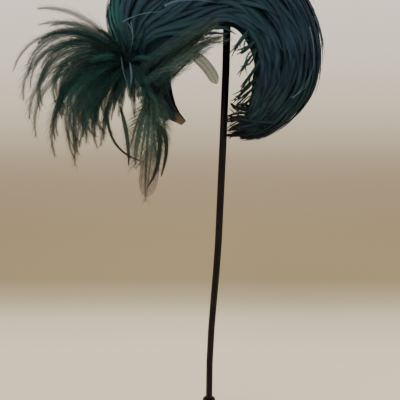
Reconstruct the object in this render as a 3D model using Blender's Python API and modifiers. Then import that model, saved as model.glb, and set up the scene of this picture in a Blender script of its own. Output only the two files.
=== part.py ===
"""Feather hat on a rod stand.

A felt half hat in the shape of a saddle is covered with swept feathers. They rise from a
binding at the wearer's one side, run over the crown and curl in under the other side.
A spray and a hanging tuft leave the binding. The hat sits on the knob of a bent rod stand.

Metres, +Z up. X runs across the hat, the front faces -Y, and the origin is the middle of
the stand's foot on the floor. Places on the hat are given round its swirl centre: an angle
in the XZ plane, counted from +X towards +Z, and a place across, from -1 at the front rim
over 0 on the ridge to 1 at the back rim.
"""

import math
from collections import namedtuple

import bmesh
import bpy
from mathutils import Matrix, Vector

# Stand
BASE_RADIUS = 0.060
BASE_RIM = 0.007
NECK_RADIUS = 0.0065
NECK_HEIGHT = 0.060
COLLAR_RADIUS = 0.0078
COLLAR_HEIGHT = 0.008
ROD_RADIUS = 0.004
ROD_LEAN = 0.0174
KNOB_RADIUS = 0.015
KNOB_HEIGHT = 0.014
ROUND_STEPS = 28

# Hat: one height places it on the stand, and the others are its own
SWIRL_HEIGHT = 0.451
CROWN_RISE = 0.122
HALF_DEPTH = 0.064
FELT_WALL = 0.002
PILE_WALL = 0.004
PUFF = 0.030
FLARE = 0.020
SEAT_GAP = 0.0003
PILE_SEAT = 0.0011

# Locks: the stiff strips that the feathers lie in
LOCK_THICKNESS = 0.0016
CRUMB = 1e-9
SPRAY_KNOT = 0.012
SPRAY_LENGTH = 0.116
SPRAY_WIDTH = 0.0075
SPRAY_LEAN = 40.0
TUFT_KNOT = 0.0085
TUFT_LENGTH = 0.080
TUFT_WIDTH = 0.0080
TUFT_LEAN = 84.0

# Ends of the felt and of its feather cover, as angles in degrees
FELT_FROM, FELT_TO = 222.0, -30.0
FELT_STEPS, FELT_ROWS = 24, 12
STEP = (FELT_FROM - FELT_TO) / FELT_STEPS
COVER_FROM, COVER_TO = FELT_FROM - STEP, FELT_TO - 5 * STEP
COVER_STEPS = FELT_STEPS + 4
SPRAY_ANGLE, SPRAY_ACROSS = 169.0, -0.60
TUFT_ANGLE, TUFT_ACROSS = 185.0, -0.80

Bend = namedtuple("Bend", "height lean")
# The rod's bends: heights as shares of the rod, sideways places as shares of ROD_LEAN
ROD_BENDS = [
    Bend(0.00, 0.00),
    Bend(0.12, 0.03),
    Bend(0.21, 0.14),
    Bend(0.29, 0.30),
    Bend(0.36, 0.45),
    Bend(0.43, 0.57),
    Bend(0.53, 0.67),
    Bend(0.66, 0.80),
    Bend(0.82, 0.93),
    Bend(1.00, 1.00),
]

Form = namedtuple("Form", "angle crown front_rim back_rim front back")
# The felt: crown and rims as shares of CROWN_RISE, front and back as shares of HALF_DEPTH
FORM = [
    Form(222, 0.54, 0.49, 0.49, 0.22, 0.22),
    Form(205, 0.63, 0.50, 0.50, 0.53, 0.53),
    Form(185, 0.69, 0.50, 0.51, 0.75, 0.75),
    Form(165, 0.75, 0.49, 0.55, 0.88, 0.86),
    Form(140, 0.86, 0.43, 0.61, 0.97, 0.94),
    Form(115, 0.96, 0.38, 0.62, 1.00, 0.94),
    Form(90, 1.00, 0.36, 0.61, 1.00, 0.94),
    Form(65, 0.95, 0.38, 0.62, 0.97, 0.94),
    Form(40, 0.84, 0.41, 0.60, 0.91, 0.90),
    Form(15, 0.72, 0.46, 0.54, 0.84, 0.84),
    Form(-5, 0.65, 0.46, 0.50, 0.72, 0.72),
    Form(-28, 0.53, 0.45, 0.45, 0.44, 0.44),
    Form(-52, 0.45, 0.40, 0.40, 0.30, 0.30),
    Form(-78, 0.38, 0.37, 0.37, 0.10, 0.10),
]

Cover = namedtuple("Cover", "angle puff front_rim back_rim front back")
# The feathers over it: puff as a share of PUFF, rims of CROWN_RISE, front and back of FLARE
COVER = [
    Cover(212, 0.00, 0.52, 0.52, 0.05, 0.05),
    Cover(195, 0.00, 0.51, 0.52, 0.10, 0.10),
    Cover(180, 0.02, 0.49, 0.54, 0.15, 0.15),
    Cover(168, 0.66, 0.45, 0.55, 0.25, 0.20),
    Cover(152, 1.26, 0.37, 0.58, 0.25, 0.20),
    Cover(138, 1.12, 0.34, 0.61, 0.20, 0.15),
    Cover(115, 0.46, 0.35, 0.62, 0.15, 0.15),
    Cover(90, 0.00, 0.33, 0.60, 0.15, 0.15),
    Cover(65, 0.02, 0.24, 0.59, 0.34, 0.30),
    Cover(40, 0.08, 0.19, 0.54, 0.45, 0.40),
    Cover(15, 0.18, 0.16, 0.47, 0.65, 0.55),
    Cover(-5, 0.20, 0.15, 0.42, 0.72, 0.62),
    Cover(-28, 0.26, 0.18, 0.36, 1.00, 0.90),
    Cover(-52, 0.24, 0.25, 0.33, 0.80, 0.70),
    Cover(-78, 0.20, 0.38, 0.39, 0.40, 0.35),
]

Layer = namedtuple("Layer", "count root tip front back gather width lift")
# Layers of locks on the cover: angles of root and tip, the spread across at the root, the
# share of it left at the tip, half width and height of the tip above the cover in metres
LAYERS = [
    Layer(5, 172, 112, -0.85, 0.85, 1.0, 0.0150, 0.0070),
    Layer(5, 138, 66, -0.85, 0.85, 1.0, 0.0150, 0.0060),
    Layer(6, 92, 14, -0.95, 0.90, 1.0, 0.0135, 0.0030),
    Layer(6, 44, -40, -0.95, 0.85, 1.0, 0.0120, 0.0030),
    Layer(4, 0, -76, -0.85, 0.75, 0.8, 0.0120, 0.0035),
    Layer(4, -38, -82, -0.60, 0.60, 0.8, 0.0080, 0.0020),
]

Lock = namedtuple("Lock", "pitch curl yaw length width")
# The spray, from its top to its foot: the pitch at the knot and the whole turn down the
# length in degrees, the yaw towards the front, and shares of SPRAY_LENGTH and SPRAY_WIDTH
SPRAY = [
    Lock(122, 64, 8, 0.74, 0.50),
    Lock(130, 90, -16, 0.88, 0.60),
    Lock(136, 112, 2, 1.10, 0.55),
    Lock(140, 118, -12, 1.10, 0.60),
    Lock(147, 134, 20, 1.14, 0.80),
    Lock(151, 134, -4, 1.24, 1.00),
    Lock(159, 124, -36, 1.02, 0.90),
    Lock(167, 116, 38, 1.00, 1.00),
    Lock(173, 108, 6, 1.06, 1.10),
    Lock(179, 112, -54, 0.84, 0.90),
    Lock(185, 124, -14, 1.10, 1.10),
    Lock(193, 100, 24, 1.02, 1.10),
    Lock(202, 88, 54, 0.82, 0.90),
    Lock(211, 74, -28, 0.88, 1.00),
    Lock(219, 54, 6, 0.92, 1.00),
    Lock(229, 34, 30, 0.76, 0.90),
    Lock(240, 20, -8, 0.68, 0.80),
]
# The tuft, from left to right, with shares of TUFT_LENGTH and TUFT_WIDTH
TUFT = [
    Lock(213, 96, 4, 1.10, 0.45),
    Lock(225, 80, 20, 1.00, 0.45),
    Lock(242, 28, 2, 0.84, 0.95),
    Lock(253, 12, 20, 0.92, 1.20),
    Lock(263, 6, 6, 1.30, 1.00),
    Lock(272, -4, 26, 0.80, 1.25),
    Lock(283, -14, 12, 0.76, 1.20),
    Lock(295, -20, 20, 0.60, 1.00),
]
LOCK_STEPS = 6


def blended(rows, angle):
    """The row of a table at an angle, by a smooth curve through its rows."""
    last = len(rows) - 2
    index = next((i for i in range(last) if angle >= rows[i + 1].angle), last)
    near, far = rows[index], rows[index + 1]
    before, after = rows[max(index - 1, 0)], rows[min(index + 2, len(rows) - 1)]
    span = far.angle - near.angle
    share = (angle - near.angle) / span
    values = []
    for p0, p1, p2, p3 in zip(before, near, far, after):
        leave = (p2 - p0) / (far.angle - before.angle) * span
        arrive = (p3 - p1) / (after.angle - near.angle) * span
        values.append(
            (2 * share**3 - 3 * share**2 + 1) * p1
            + (share**3 - 2 * share**2 + share) * leave
            + (3 * share**2 - 2 * share**3) * p2
            + (share**3 - share**2) * arrive
        )
    return type(near)(*values)


def swirl_point(angle, across, crown, rims, depths):
    """A point of the arched section that stands at an angle round the swirl centre."""
    rim = rims[0] if across < 0 else rims[1]
    depth = depths[0] if across < 0 else depths[1]
    turn = across * math.pi / 2
    radius = rim + (crown - rim) * math.cos(turn)
    beta = math.radians(angle)
    return Vector(
        (
            ROD_LEAN + radius * math.cos(beta),
            depth * math.sin(turn),
            SWIRL_HEIGHT + radius * math.sin(beta),
        )
    )


def felt_point(angle, across, lift=0.0):
    """A point on the felt's outer face, or lifted off it."""
    row = blended(FORM, angle)
    rims = (CROWN_RISE * row.front_rim, CROWN_RISE * row.back_rim)
    depths = (HALF_DEPTH * row.front + lift, HALF_DEPTH * row.back + lift)
    return swirl_point(angle, across, CROWN_RISE * row.crown + lift, rims, depths)


def cover_point(angle, across, lift=0.0):
    """A point on the feather cover's outer face, or lifted off it."""
    felt, row = blended(FORM, angle), blended(COVER, angle)
    lift += PILE_SEAT + PILE_WALL
    rims = (CROWN_RISE * row.front_rim, CROWN_RISE * row.back_rim)
    crown = CROWN_RISE * felt.crown + PUFF * row.puff + lift
    depths = (
        HALF_DEPTH * felt.front + FLARE * row.front + lift,
        HALF_DEPTH * felt.back + FLARE * row.back + lift,
    )
    return swirl_point(angle, across, crown, rims, depths)


def across_direction(place, angle, across):
    """The unit direction on a surface from the front rim to the back rim."""
    step = 0.01
    return (place(angle, across + step) - place(angle, across - step)).normalized()


def outward(place, angle, across):
    """The unit normal of a surface, away from the hollow."""
    step = 0.5
    along = place(angle + step, across) - place(angle - step, across)
    return across_direction(place, angle, across).cross(along).normalized()


def material(name, colour, roughness, metallic=0.0):
    """A plain Principled material."""
    made = bpy.data.materials.new(name)
    made.use_nodes = True
    shader = made.node_tree.nodes["Principled BSDF"]
    shader.inputs["Base Color"].default_value = (*colour, 1.0)
    shader.inputs["Roughness"].default_value = roughness
    shader.inputs["Metallic"].default_value = metallic
    return made


def collection(name):
    """A new collection in the scene."""
    made = bpy.data.collections.new(name)
    bpy.context.scene.collection.children.link(made)
    return made


def object_from(bm, name, home, finish):
    """A smooth-shaded object made from a bmesh."""
    mesh = bpy.data.meshes.new(name)
    bm.to_mesh(mesh)
    bm.free()
    mesh.shade_smooth()
    made = bpy.data.objects.new(name, mesh)
    made.data.materials.append(finish)
    home.objects.link(made)
    return made


def add_sheet(bm, steps, rows, place):
    """Adds a grid of quads whose corners lie where place(along, across) puts them."""
    corners = bmesh.ops.create_grid(bm, x_segments=steps, y_segments=rows, size=1.0)["verts"]
    for corner in corners:
        corner.co = place((corner.co.x + 1) / 2, corner.co.y)


def add_ball(bm, centre, radius, steps=10):
    """Adds a sphere."""
    bmesh.ops.create_uvsphere(
        bm,
        u_segments=steps,
        v_segments=steps - 4,
        radius=radius,
        matrix=Matrix.Translation(centre),
    )


def add_solidify(obj, thickness, offset):
    """Gives an open sheet its thickness."""
    wall = obj.modifiers.new("wall", "SOLIDIFY")
    wall.thickness = thickness
    wall.offset = offset


def shell(name, home, finish, place, first, last, steps, wall):
    """A wall whose outer face follows a place function between two angles."""
    bm = bmesh.new()
    add_sheet(bm, steps, FELT_ROWS, lambda u, v: place(first + (last - first) * u, v))
    made = object_from(bm, name, home, finish)
    add_solidify(made, wall, -1.0)
    return made


def lock_outline(along):
    """The half width of a lock along its length, as a share of its full half width."""
    return (0.45 + 0.55 * math.sin(math.pi * min(along * 1.35, 0.5))) * (1.03 - along**3)


def cover_lock(layer, index):
    """The place function of a lock that lies along the cover with its tip lifted."""
    share = (index + 0.5) / layer.count
    stagger = 0.5 * math.sin(2.4 * index + layer.root)
    middle = (layer.front + layer.back) / 2

    def place(along, side):
        angle = layer.root + 6 * stagger + (layer.tip - layer.root) * along
        across = layer.front + (layer.back - layer.front) * share
        across = middle + (across - middle) * (1 + (layer.gather - 1) * along)
        root = -PILE_WALL * 0.55
        lift = root + (layer.lift * (1 + 0.4 * stagger) - root) * along**0.8
        over = across_direction(cover_point, angle, across)
        arch = 0.0012 * (1 - side * side)
        centre = cover_point(angle, across, lift + arch)
        return centre + over * (side * layer.width * lock_outline(along))

    return place


def lock_heading(lock, along):
    """The direction of a free lock at a share of its length."""
    pitch = math.radians(lock.pitch + lock.curl * along**1.3)
    yaw = math.radians(lock.yaw) * (1 - 0.35 * along)
    return Vector(
        (math.cos(pitch) * math.cos(yaw), -math.sin(yaw), math.sin(pitch) * math.cos(yaw))
    )


def free_lock(root, lock, full_length, full_width, full_lean):
    """The place function of a lock that leaves a knot and curls down under its own weight."""
    length, width = full_length * lock.length, full_width * lock.width
    pieces = 24
    route = [root.copy()]
    for piece in range(pieces):
        route.append(route[-1] + lock_heading(lock, (piece + 0.5) / pieces) * length / pieces)

    def place(along, side):
        heading = lock_heading(lock, along)
        lean = math.radians(full_lean + 0.5 * lock.yaw)
        upright = heading.cross(Vector((0, 1, 0))).normalized()
        over = (Vector((0, 1, 0)) * math.cos(lean) + upright * math.sin(lean)).normalized()
        over = (over - heading * over.dot(heading)).normalized()
        arch = heading.cross(over) * 0.0012 * (1 - side * side)
        return route[round(along * pieces)] + arch + over * side * width * lock_outline(along)

    return place


def shells_of(bm):
    """The closed shells of a mesh of triangles, each with its signed volume and its faces."""
    found, seen = [], set()
    for first in bm.faces:
        if first in seen:
            continue
        seen.add(first)
        faces, waiting = [], [first]
        while waiting:
            face = waiting.pop()
            faces.append(face)
            for edge in face.edges:
                near = [other for other in edge.link_faces if other not in seen]
                seen.update(near)
                waiting.extend(near)
        volume = 0.0
        for face in faces:
            one, two, three = (loop.vert.co for loop in face.loops)
            volume += one.dot(two.cross(three)) / 6
        found.append((volume, faces))
    return found


def fuse(body, locks):
    """Joins a collection of locks to a body, and leaves out sealed pockets and crumbs."""
    union = body.modifiers.new("locks", "BOOLEAN")
    union.operation = "UNION"
    union.solver = "MANIFOLD"
    union.operand_type = "COLLECTION"
    union.collection = locks
    bpy.context.view_layer.update()
    evaluated = body.evaluated_get(bpy.context.evaluated_depsgraph_get())
    bm = bmesh.new()
    bm.from_mesh(bpy.data.meshes.new_from_object(evaluated))
    bmesh.ops.triangulate(bm, faces=bm.faces)
    crumbs = [face for volume, part in shells_of(bm) if volume < CRUMB for face in part]
    bmesh.ops.delete(bm, geom=crumbs, context="FACES")
    body.modifiers.clear()
    bm.to_mesh(body.data)
    bm.free()


def build_lock(name, locks, finish, place):
    """A helper strip of one thickness whose middle follows a place function."""
    bm = bmesh.new()
    add_sheet(bm, LOCK_STEPS, 2, place)
    made = object_from(bm, name, locks, finish)
    add_solidify(made, LOCK_THICKNESS, 0.0)
    made.hide_render = True
    made.display_type = "WIRE"


def build_felt(home, finish):
    """The felt half hat, open below, in front and behind."""
    return shell(
        "felt_foundation", home, finish, felt_point, FELT_FROM, FELT_TO, FELT_STEPS, FELT_WALL
    )


def build_cover(home, finish):
    """The swept feathers: a wall over the felt with layers of locks on it."""
    locks = collection("crown_locks")
    for row, layer in enumerate(LAYERS):
        for index in range(layer.count):
            build_lock(f"crown_lock_{row}_{index}", locks, finish, cover_lock(layer, index))
    cover = shell(
        "crown_feathers", home, finish, cover_point, COVER_FROM, COVER_TO, COVER_STEPS, PILE_WALL
    )
    fuse(cover, locks)
    return cover


def knot_centre(angle, across, radius):
    """The centre of a ball on the cover's curve, which its flats lie a little under."""
    normal = outward(cover_point, angle, across)
    return cover_point(angle, across) + normal * radius


def build_bunch(name, home, finish, centre, radius, table, sizes):
    """A knot of bound quills with the locks that leave it."""
    locks = collection(name + "_locks")
    for index, lock in enumerate(table):
        root = centre + lock_heading(lock, 0.0) * radius * 0.35
        build_lock(f"{name}_lock_{index}", locks, finish, free_lock(root, lock, *sizes))
    bm = bmesh.new()
    add_ball(bm, centre, radius)
    bunch = object_from(bm, name, home, finish)
    fuse(bunch, locks)
    return bunch


def turned(name, home, finish, profile, place):
    """A turned piece, from a profile of (radius, height) that runs from top to bottom."""
    bm = bmesh.new()
    corners = [bm.verts.new((radius, 0.0, height)) for radius, height in profile]
    for upper, lower in zip(corners, corners[1:]):
        bm.edges.new((upper, lower))
    made = object_from(bm, name, home, finish)
    made.location = place
    screw = made.modifiers.new("turn", "SCREW")
    screw.steps = screw.render_steps = ROUND_STEPS
    screw.use_merge_vertices = True
    screw.merge_threshold = 0.0001
    return made


def rod_foot():
    """The height at which the rod stands on the base's neck."""
    return NECK_HEIGHT + SEAT_GAP


def knob_top():
    """The height of the knob's top, just under the flat that the felt has between two corners."""
    above = FELT_FROM - STEP * ((FELT_FROM - 90) // STEP)
    flat = min(felt_point(above, 0).z, felt_point(above - STEP, 0).z)
    return flat - FELT_WALL - SEAT_GAP


def rod_top():
    """The height of the rod's end, just under the knob."""
    return knob_top() - KNOB_HEIGHT - SEAT_GAP


def build_rod(home, finish):
    """The bent rod, as a curve with a round section."""
    curve = bpy.data.curves.new("stand_rod", "CURVE")
    curve.dimensions = "3D"
    curve.bevel_depth = ROD_RADIUS
    curve.bevel_resolution = 4
    curve.use_fill_caps = True
    spline = curve.splines.new("POLY")
    spline.points.add(len(ROD_BENDS) - 1)
    for point, bend in zip(spline.points, ROD_BENDS):
        height = rod_foot() + (rod_top() - rod_foot()) * bend.height
        point.co = (ROD_LEAN * bend.lean, 0.0, height, 1.0)
    made = bpy.data.objects.new("stand_rod", curve)
    made.data.materials.append(finish)
    home.objects.link(made)
    return made


def build_stand(home, finish):
    """The foot with its neck, the collar round the rod, the rod and the knob."""
    rise = NECK_HEIGHT - BASE_RIM
    foot = [
        (0.0, NECK_HEIGHT),
        (NECK_RADIUS, NECK_HEIGHT),
        (NECK_RADIUS * 1.15, BASE_RIM + rise * 0.55),
        (NECK_RADIUS * 1.9, BASE_RIM + rise * 0.24),
        (BASE_RADIUS * 0.40, BASE_RIM + rise * 0.11),
        (BASE_RADIUS * 0.80, BASE_RIM + rise * 0.04),
        (BASE_RADIUS * 0.97, BASE_RIM),
        (BASE_RADIUS, BASE_RIM * 0.7),
        (BASE_RADIUS, 0.0),
        (0.0, 0.0),
    ]
    turned("stand_base", home, finish, foot, (0.0, 0.0, 0.0))
    bore = ROD_RADIUS + SEAT_GAP
    flat = COLLAR_RADIUS * 0.86
    collar = [
        (bore, COLLAR_HEIGHT),
        (flat, COLLAR_HEIGHT),
        (COLLAR_RADIUS, COLLAR_HEIGHT * 0.9),
        (COLLAR_RADIUS, 0.0),
        (bore, 0.0),
        (bore, COLLAR_HEIGHT),
    ]
    turned("stand_collar", home, finish, collar, (0.0, 0.0, rod_foot()))
    build_rod(home, finish)
    rings = 5
    dome = [
        (
            KNOB_RADIUS * math.sin(math.pi / 2 * ring / rings),
            KNOB_HEIGHT * (0.2 + 0.8 * math.cos(math.pi / 2 * ring / rings)),
        )
        for ring in range(rings + 1)
    ]
    knob = dome + [(KNOB_RADIUS, 0.0), (0.0, 0.0)]
    turned("stand_knob", home, finish, knob, (ROD_LEAN, 0.0, knob_top() - KNOB_HEIGHT))


def main():
    """Clears the scene and builds the hat and its stand."""
    for old in list(bpy.data.objects):
        bpy.data.objects.remove(old)
    home = collection("feather_hat")
    felt = material("black_felt", (0.020, 0.024, 0.026), 0.85)
    plumage = material("dark_green_feather", (0.012, 0.045, 0.042), 0.45)
    hackle = material("green_hackle", (0.016, 0.060, 0.042), 0.50)
    lacquer = material("black_lacquer", (0.012, 0.010, 0.012), 0.35)

    build_felt(home, felt)
    build_cover(home, plumage)
    spray_at = knot_centre(SPRAY_ANGLE, SPRAY_ACROSS, SPRAY_KNOT)
    sizes = (SPRAY_LENGTH, SPRAY_WIDTH, SPRAY_LEAN)
    build_bunch("side_spray", home, hackle, spray_at, SPRAY_KNOT, SPRAY, sizes)
    tuft_at = knot_centre(TUFT_ANGLE, TUFT_ACROSS, TUFT_KNOT)
    sizes = (TUFT_LENGTH, TUFT_WIDTH, TUFT_LEAN)
    build_bunch("hanging_tuft", home, hackle, tuft_at, TUFT_KNOT, TUFT, sizes)
    build_stand(home, lacquer)


main()
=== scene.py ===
"""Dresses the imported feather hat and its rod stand, and sets the studio round them.

Metres, +Z up. The hat's front faces -Y and its spray leaves it towards -X. Places on the
hat are given round its swirl centre, as in the part: an angle in the XZ plane, counted
from +X towards +Z, and a place across, from -1 at the front rim to 1 at the back rim.
"""

import logging
import math
from dataclasses import dataclass, field, replace
from enum import Enum
from typing import Dict, List, NamedTuple, Optional, Sequence, Tuple, Union

import bpy
import numpy as np
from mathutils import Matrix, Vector


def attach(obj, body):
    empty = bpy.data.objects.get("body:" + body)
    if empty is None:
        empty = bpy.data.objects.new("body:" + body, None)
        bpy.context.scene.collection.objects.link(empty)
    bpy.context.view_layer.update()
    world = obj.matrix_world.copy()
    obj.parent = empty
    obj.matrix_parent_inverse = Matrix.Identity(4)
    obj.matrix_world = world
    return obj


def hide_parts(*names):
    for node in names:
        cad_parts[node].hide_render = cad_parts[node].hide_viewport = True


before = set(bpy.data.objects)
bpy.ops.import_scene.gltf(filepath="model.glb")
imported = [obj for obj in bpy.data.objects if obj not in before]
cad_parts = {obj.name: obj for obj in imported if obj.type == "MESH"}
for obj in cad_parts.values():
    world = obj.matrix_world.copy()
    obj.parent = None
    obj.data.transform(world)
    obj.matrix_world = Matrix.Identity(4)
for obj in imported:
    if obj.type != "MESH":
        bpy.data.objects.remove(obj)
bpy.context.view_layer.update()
LOG = logging.getLogger("feather_hat")

Array = np.ndarray
Colour = Tuple[float, float, float]
Tree = bpy.types.NodeTree
Socket = bpy.types.NodeSocket
Value = Union[Socket, Colour, float]


class Flank(Enum):
    """A side of a feather's shaft."""

    LEFT = -1
    RIGHT = 1


class Barbs(Enum):
    """How barbs stand: how far they lean to the tip, and how far they sag."""

    TIGHT = (0.86, 0.02)
    LOOSE = (0.76, 0.08)
    DOWNY = (0.56, 0.22)


class Axis(Enum):
    """A direction of the frame."""

    X = "X"
    Y = "Y"
    Z = "Z"


class LampKind(Enum):
    """A kind of light."""

    SUN = "SUN"
    AREA = "AREA"


# The hat's surfaces


class Form(NamedTuple):
    """The felt at an angle: its crown as a share of the rise, its sides as shares of the depth."""

    angle: float
    crown: float
    front: float
    back: float


class Cover(NamedTuple):
    """The feathers over the felt at an angle, as shares of the puff, the rise and the flare."""

    angle: float
    puff: float
    front_rim: float
    back_rim: float
    front: float
    back: float


@dataclass(frozen=True)
class HatForm:
    """The hat's surfaces, from the same named sizes and tables as the part's source."""

    lean: float = 0.0174
    swirl_height: float = 0.451
    crown_rise: float = 0.122
    half_depth: float = 0.064
    pile_wall: float = 0.004
    pile_seat: float = 0.0011
    puff: float = 0.030
    flare: float = 0.020
    knot_angle: float = 169.0
    knot_across: float = -0.60
    cover_end: float = -82.0
    seam: float = 225.0
    gather_spread: float = 26.0
    gather_front: float = 0.45
    gather_blend: float = 0.6
    gather_share: float = 0.8
    small_across: float = 0.01
    small_angle: float = 0.5
    felt_rows: Tuple[Form, ...] = (
        Form(222, 0.54, 0.22, 0.22),
        Form(205, 0.63, 0.53, 0.53),
        Form(185, 0.69, 0.75, 0.75),
        Form(165, 0.75, 0.88, 0.86),
        Form(140, 0.86, 0.97, 0.94),
        Form(115, 0.96, 1.00, 0.94),
        Form(90, 1.00, 1.00, 0.94),
        Form(65, 0.95, 0.97, 0.94),
        Form(40, 0.84, 0.91, 0.90),
        Form(15, 0.72, 0.84, 0.84),
        Form(-5, 0.65, 0.72, 0.72),
        Form(-28, 0.53, 0.44, 0.44),
        Form(-52, 0.45, 0.30, 0.30),
        Form(-78, 0.38, 0.10, 0.10),
    )
    cover_rows: Tuple[Cover, ...] = (
        Cover(212, 0.00, 0.52, 0.52, 0.05, 0.05),
        Cover(195, 0.00, 0.51, 0.52, 0.10, 0.10),
        Cover(180, 0.02, 0.49, 0.54, 0.15, 0.15),
        Cover(168, 0.66, 0.45, 0.55, 0.25, 0.20),
        Cover(152, 1.26, 0.37, 0.58, 0.25, 0.20),
        Cover(138, 1.12, 0.34, 0.61, 0.20, 0.15),
        Cover(115, 0.46, 0.35, 0.62, 0.15, 0.15),
        Cover(90, 0.00, 0.33, 0.60, 0.15, 0.15),
        Cover(65, 0.02, 0.24, 0.59, 0.34, 0.30),
        Cover(40, 0.08, 0.19, 0.54, 0.45, 0.40),
        Cover(15, 0.18, 0.16, 0.47, 0.65, 0.55),
        Cover(-5, 0.20, 0.15, 0.42, 0.72, 0.62),
        Cover(-28, 0.26, 0.18, 0.36, 1.00, 0.90),
        Cover(-52, 0.24, 0.25, 0.33, 0.80, 0.70),
        Cover(-78, 0.20, 0.38, 0.39, 0.40, 0.35),
    )

    @staticmethod
    def blended(rows: Sequence[Tuple[float, ...]], angles: Array) -> Array:
        """Rows of a table at many angles, by a smooth curve through its rows.

        Args:
            rows: the table, from its greatest angle to its least.
            angles: the angles in degrees.

        Returns:
            One row of values for each angle.
        """
        table = np.array(rows, float)
        last = len(rows) - 2
        index = np.clip(np.searchsorted(-table[:, 0], -angles, side="right") - 1, 0, last)
        before, after = np.maximum(index - 1, 0), np.minimum(index + 2, len(rows) - 1)
        p0, p1, p2, p3 = table[before], table[index], table[index + 1], table[after]
        span = p2[:, :1] - p1[:, :1]
        share = (angles[:, None] - p1[:, :1]) / span
        leave = (p2 - p0) / (p2[:, :1] - p0[:, :1]) * span
        arrive = (p3 - p1) / (p3[:, :1] - p1[:, :1]) * span
        return (
            (2 * share**3 - 3 * share**2 + 1) * p1
            + (share**3 - 2 * share**2 + share) * leave
            + (3 * share**2 - 2 * share**3) * p2
            + (share**3 - share**2) * arrive
        )

    def section(self, angle: Array, front: Array, lift: Array) -> Tuple[Array, Array, Array]:
        """The cover's rim and crown radii and its depth.

        Args:
            angle: angles round the swirl centre, in degrees.
            front: whether the front half is meant, or else the back half.
            lift: heights over the face, in metres.

        Returns:
            The rims, the crowns and the depths, in metres.
        """
        felt = Form(*self.blended(self.felt_rows, angle).T)
        cover = Cover(*self.blended(self.cover_rows, angle).T)
        lift = lift + self.pile_seat + self.pile_wall
        rim = self.crown_rise * np.where(front, cover.front_rim, cover.back_rim)
        crown = self.crown_rise * felt.crown + self.puff * cover.puff + lift
        depth = self.half_depth * np.where(front, felt.front, felt.back)
        flare = self.flare * np.where(front, cover.front, cover.back)
        return rim, crown, depth + flare + lift

    def cover_point(self, angle: Array, across: Array, lift: Array) -> Array:
        """Points on the feather cover's outer face, or lifted off it.

        Args:
            angle: angles round the swirl centre, in degrees.
            across: places from the front rim to the back rim.
            lift: heights over the face, in metres.

        Returns:
            The points, one row each.
        """
        rim, crown, depth = self.section(angle, across < 0, lift)
        turn = across * math.pi / 2
        radius = rim + (crown - rim) * np.cos(turn)
        beta = np.radians(angle)
        return np.stack(
            [
                self.lean + radius * np.cos(beta),
                depth * np.sin(turn),
                self.swirl_height + radius * np.sin(beta),
            ],
            axis=1,
        )

    def outward(self, angle: Array, across: Array) -> Array:
        """Unit normals of the cover, away from the hollow.

        Args:
            angle: angles round the swirl centre, in degrees.
            across: places from the front rim to the back rim.

        Returns:
            The normals, one row each.
        """
        none, small, step = np.zeros_like(angle), self.small_across, self.small_angle
        over = self.cover_point(angle, across + small, none)
        over = over - self.cover_point(angle, across - small, none)
        along = self.cover_point(angle + step, across, none)
        along = along - self.cover_point(angle - step, across, none)
        return unit(np.cross(over, along))

    def drawn_in(self, angle: Array, own: Array) -> Array:
        """Where feathers lie across: near the knot they gather to it.

        Args:
            angle: angles round the swirl centre, in degrees.
            own: the places across that they have away from the knot.

        Returns:
            Their places across.
        """
        near = np.exp(-(((angle - self.knot_angle) / self.gather_spread) ** 2))
        front = np.clip((self.gather_front - own) / self.gather_blend, 0.0, 1.0)
        return own + (self.knot_across - own) * near * front * self.gather_share

    def radius(self, angle: float) -> float:
        """The cover's reach from the swirl centre at an angle."""
        point = self.cover_point(np.array([angle]), np.zeros(1), np.zeros(1))[0]
        return math.hypot(point[0] - self.lean, point[2] - self.swirl_height)

    def before_point(self, angle: float, reach: float, off: float) -> Array:
        """A place in front of the cover.

        Args:
            angle: its angle round the swirl centre, in degrees.
            reach: its radius, as a share of the rise.
            off: how far it stands off the cover's front, in metres.

        Returns:
            The place.
        """
        # Angles past the seam are on the sweep, which the tables count below zero
        turned = max(angle - 360.0 if angle > self.seam else angle, self.cover_end)
        section = self.section(np.array([turned]), np.array([True]), np.zeros(1))
        rim, crown, depth = (float(part[0]) for part in section)
        beta, out = math.radians(angle), self.crown_rise * reach
        share = min(1.0, max(0.0, (out - rim) / (crown - rim)))
        return np.array(
            [
                self.lean + out * math.cos(beta),
                -depth * math.sqrt(1 - share**2) - off,
                self.swirl_height + out * math.sin(beta),
            ]
        )


def unit(vectors: Array) -> Array:
    """Vectors of length one."""
    return vectors / np.maximum(np.linalg.norm(vectors, axis=-1, keepdims=True), 1e-9)


# Joined meshes of feathers

NO_TRIANGLES = np.zeros((0, 3), int)
# The shaft's place across the UV map, and how far from it the vane's edge lies
MIDRIB, VANE_EDGE = 0.5, 0.25
# A barb bends at its knee, narrows by a share there, and has a ridge on its back
SPIKE_KNEE, SPIKE_TAPER, SPIKE_RIDGE = 0.5, 0.75, 0.45
SPIKE_CORNERS = 7
SHAFT_TAPER, SHAFT_SIDES = 0.85, 4
# The way that the hat's front faces
FORWARD = np.array([0.0, -1.0, 0.0])


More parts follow.
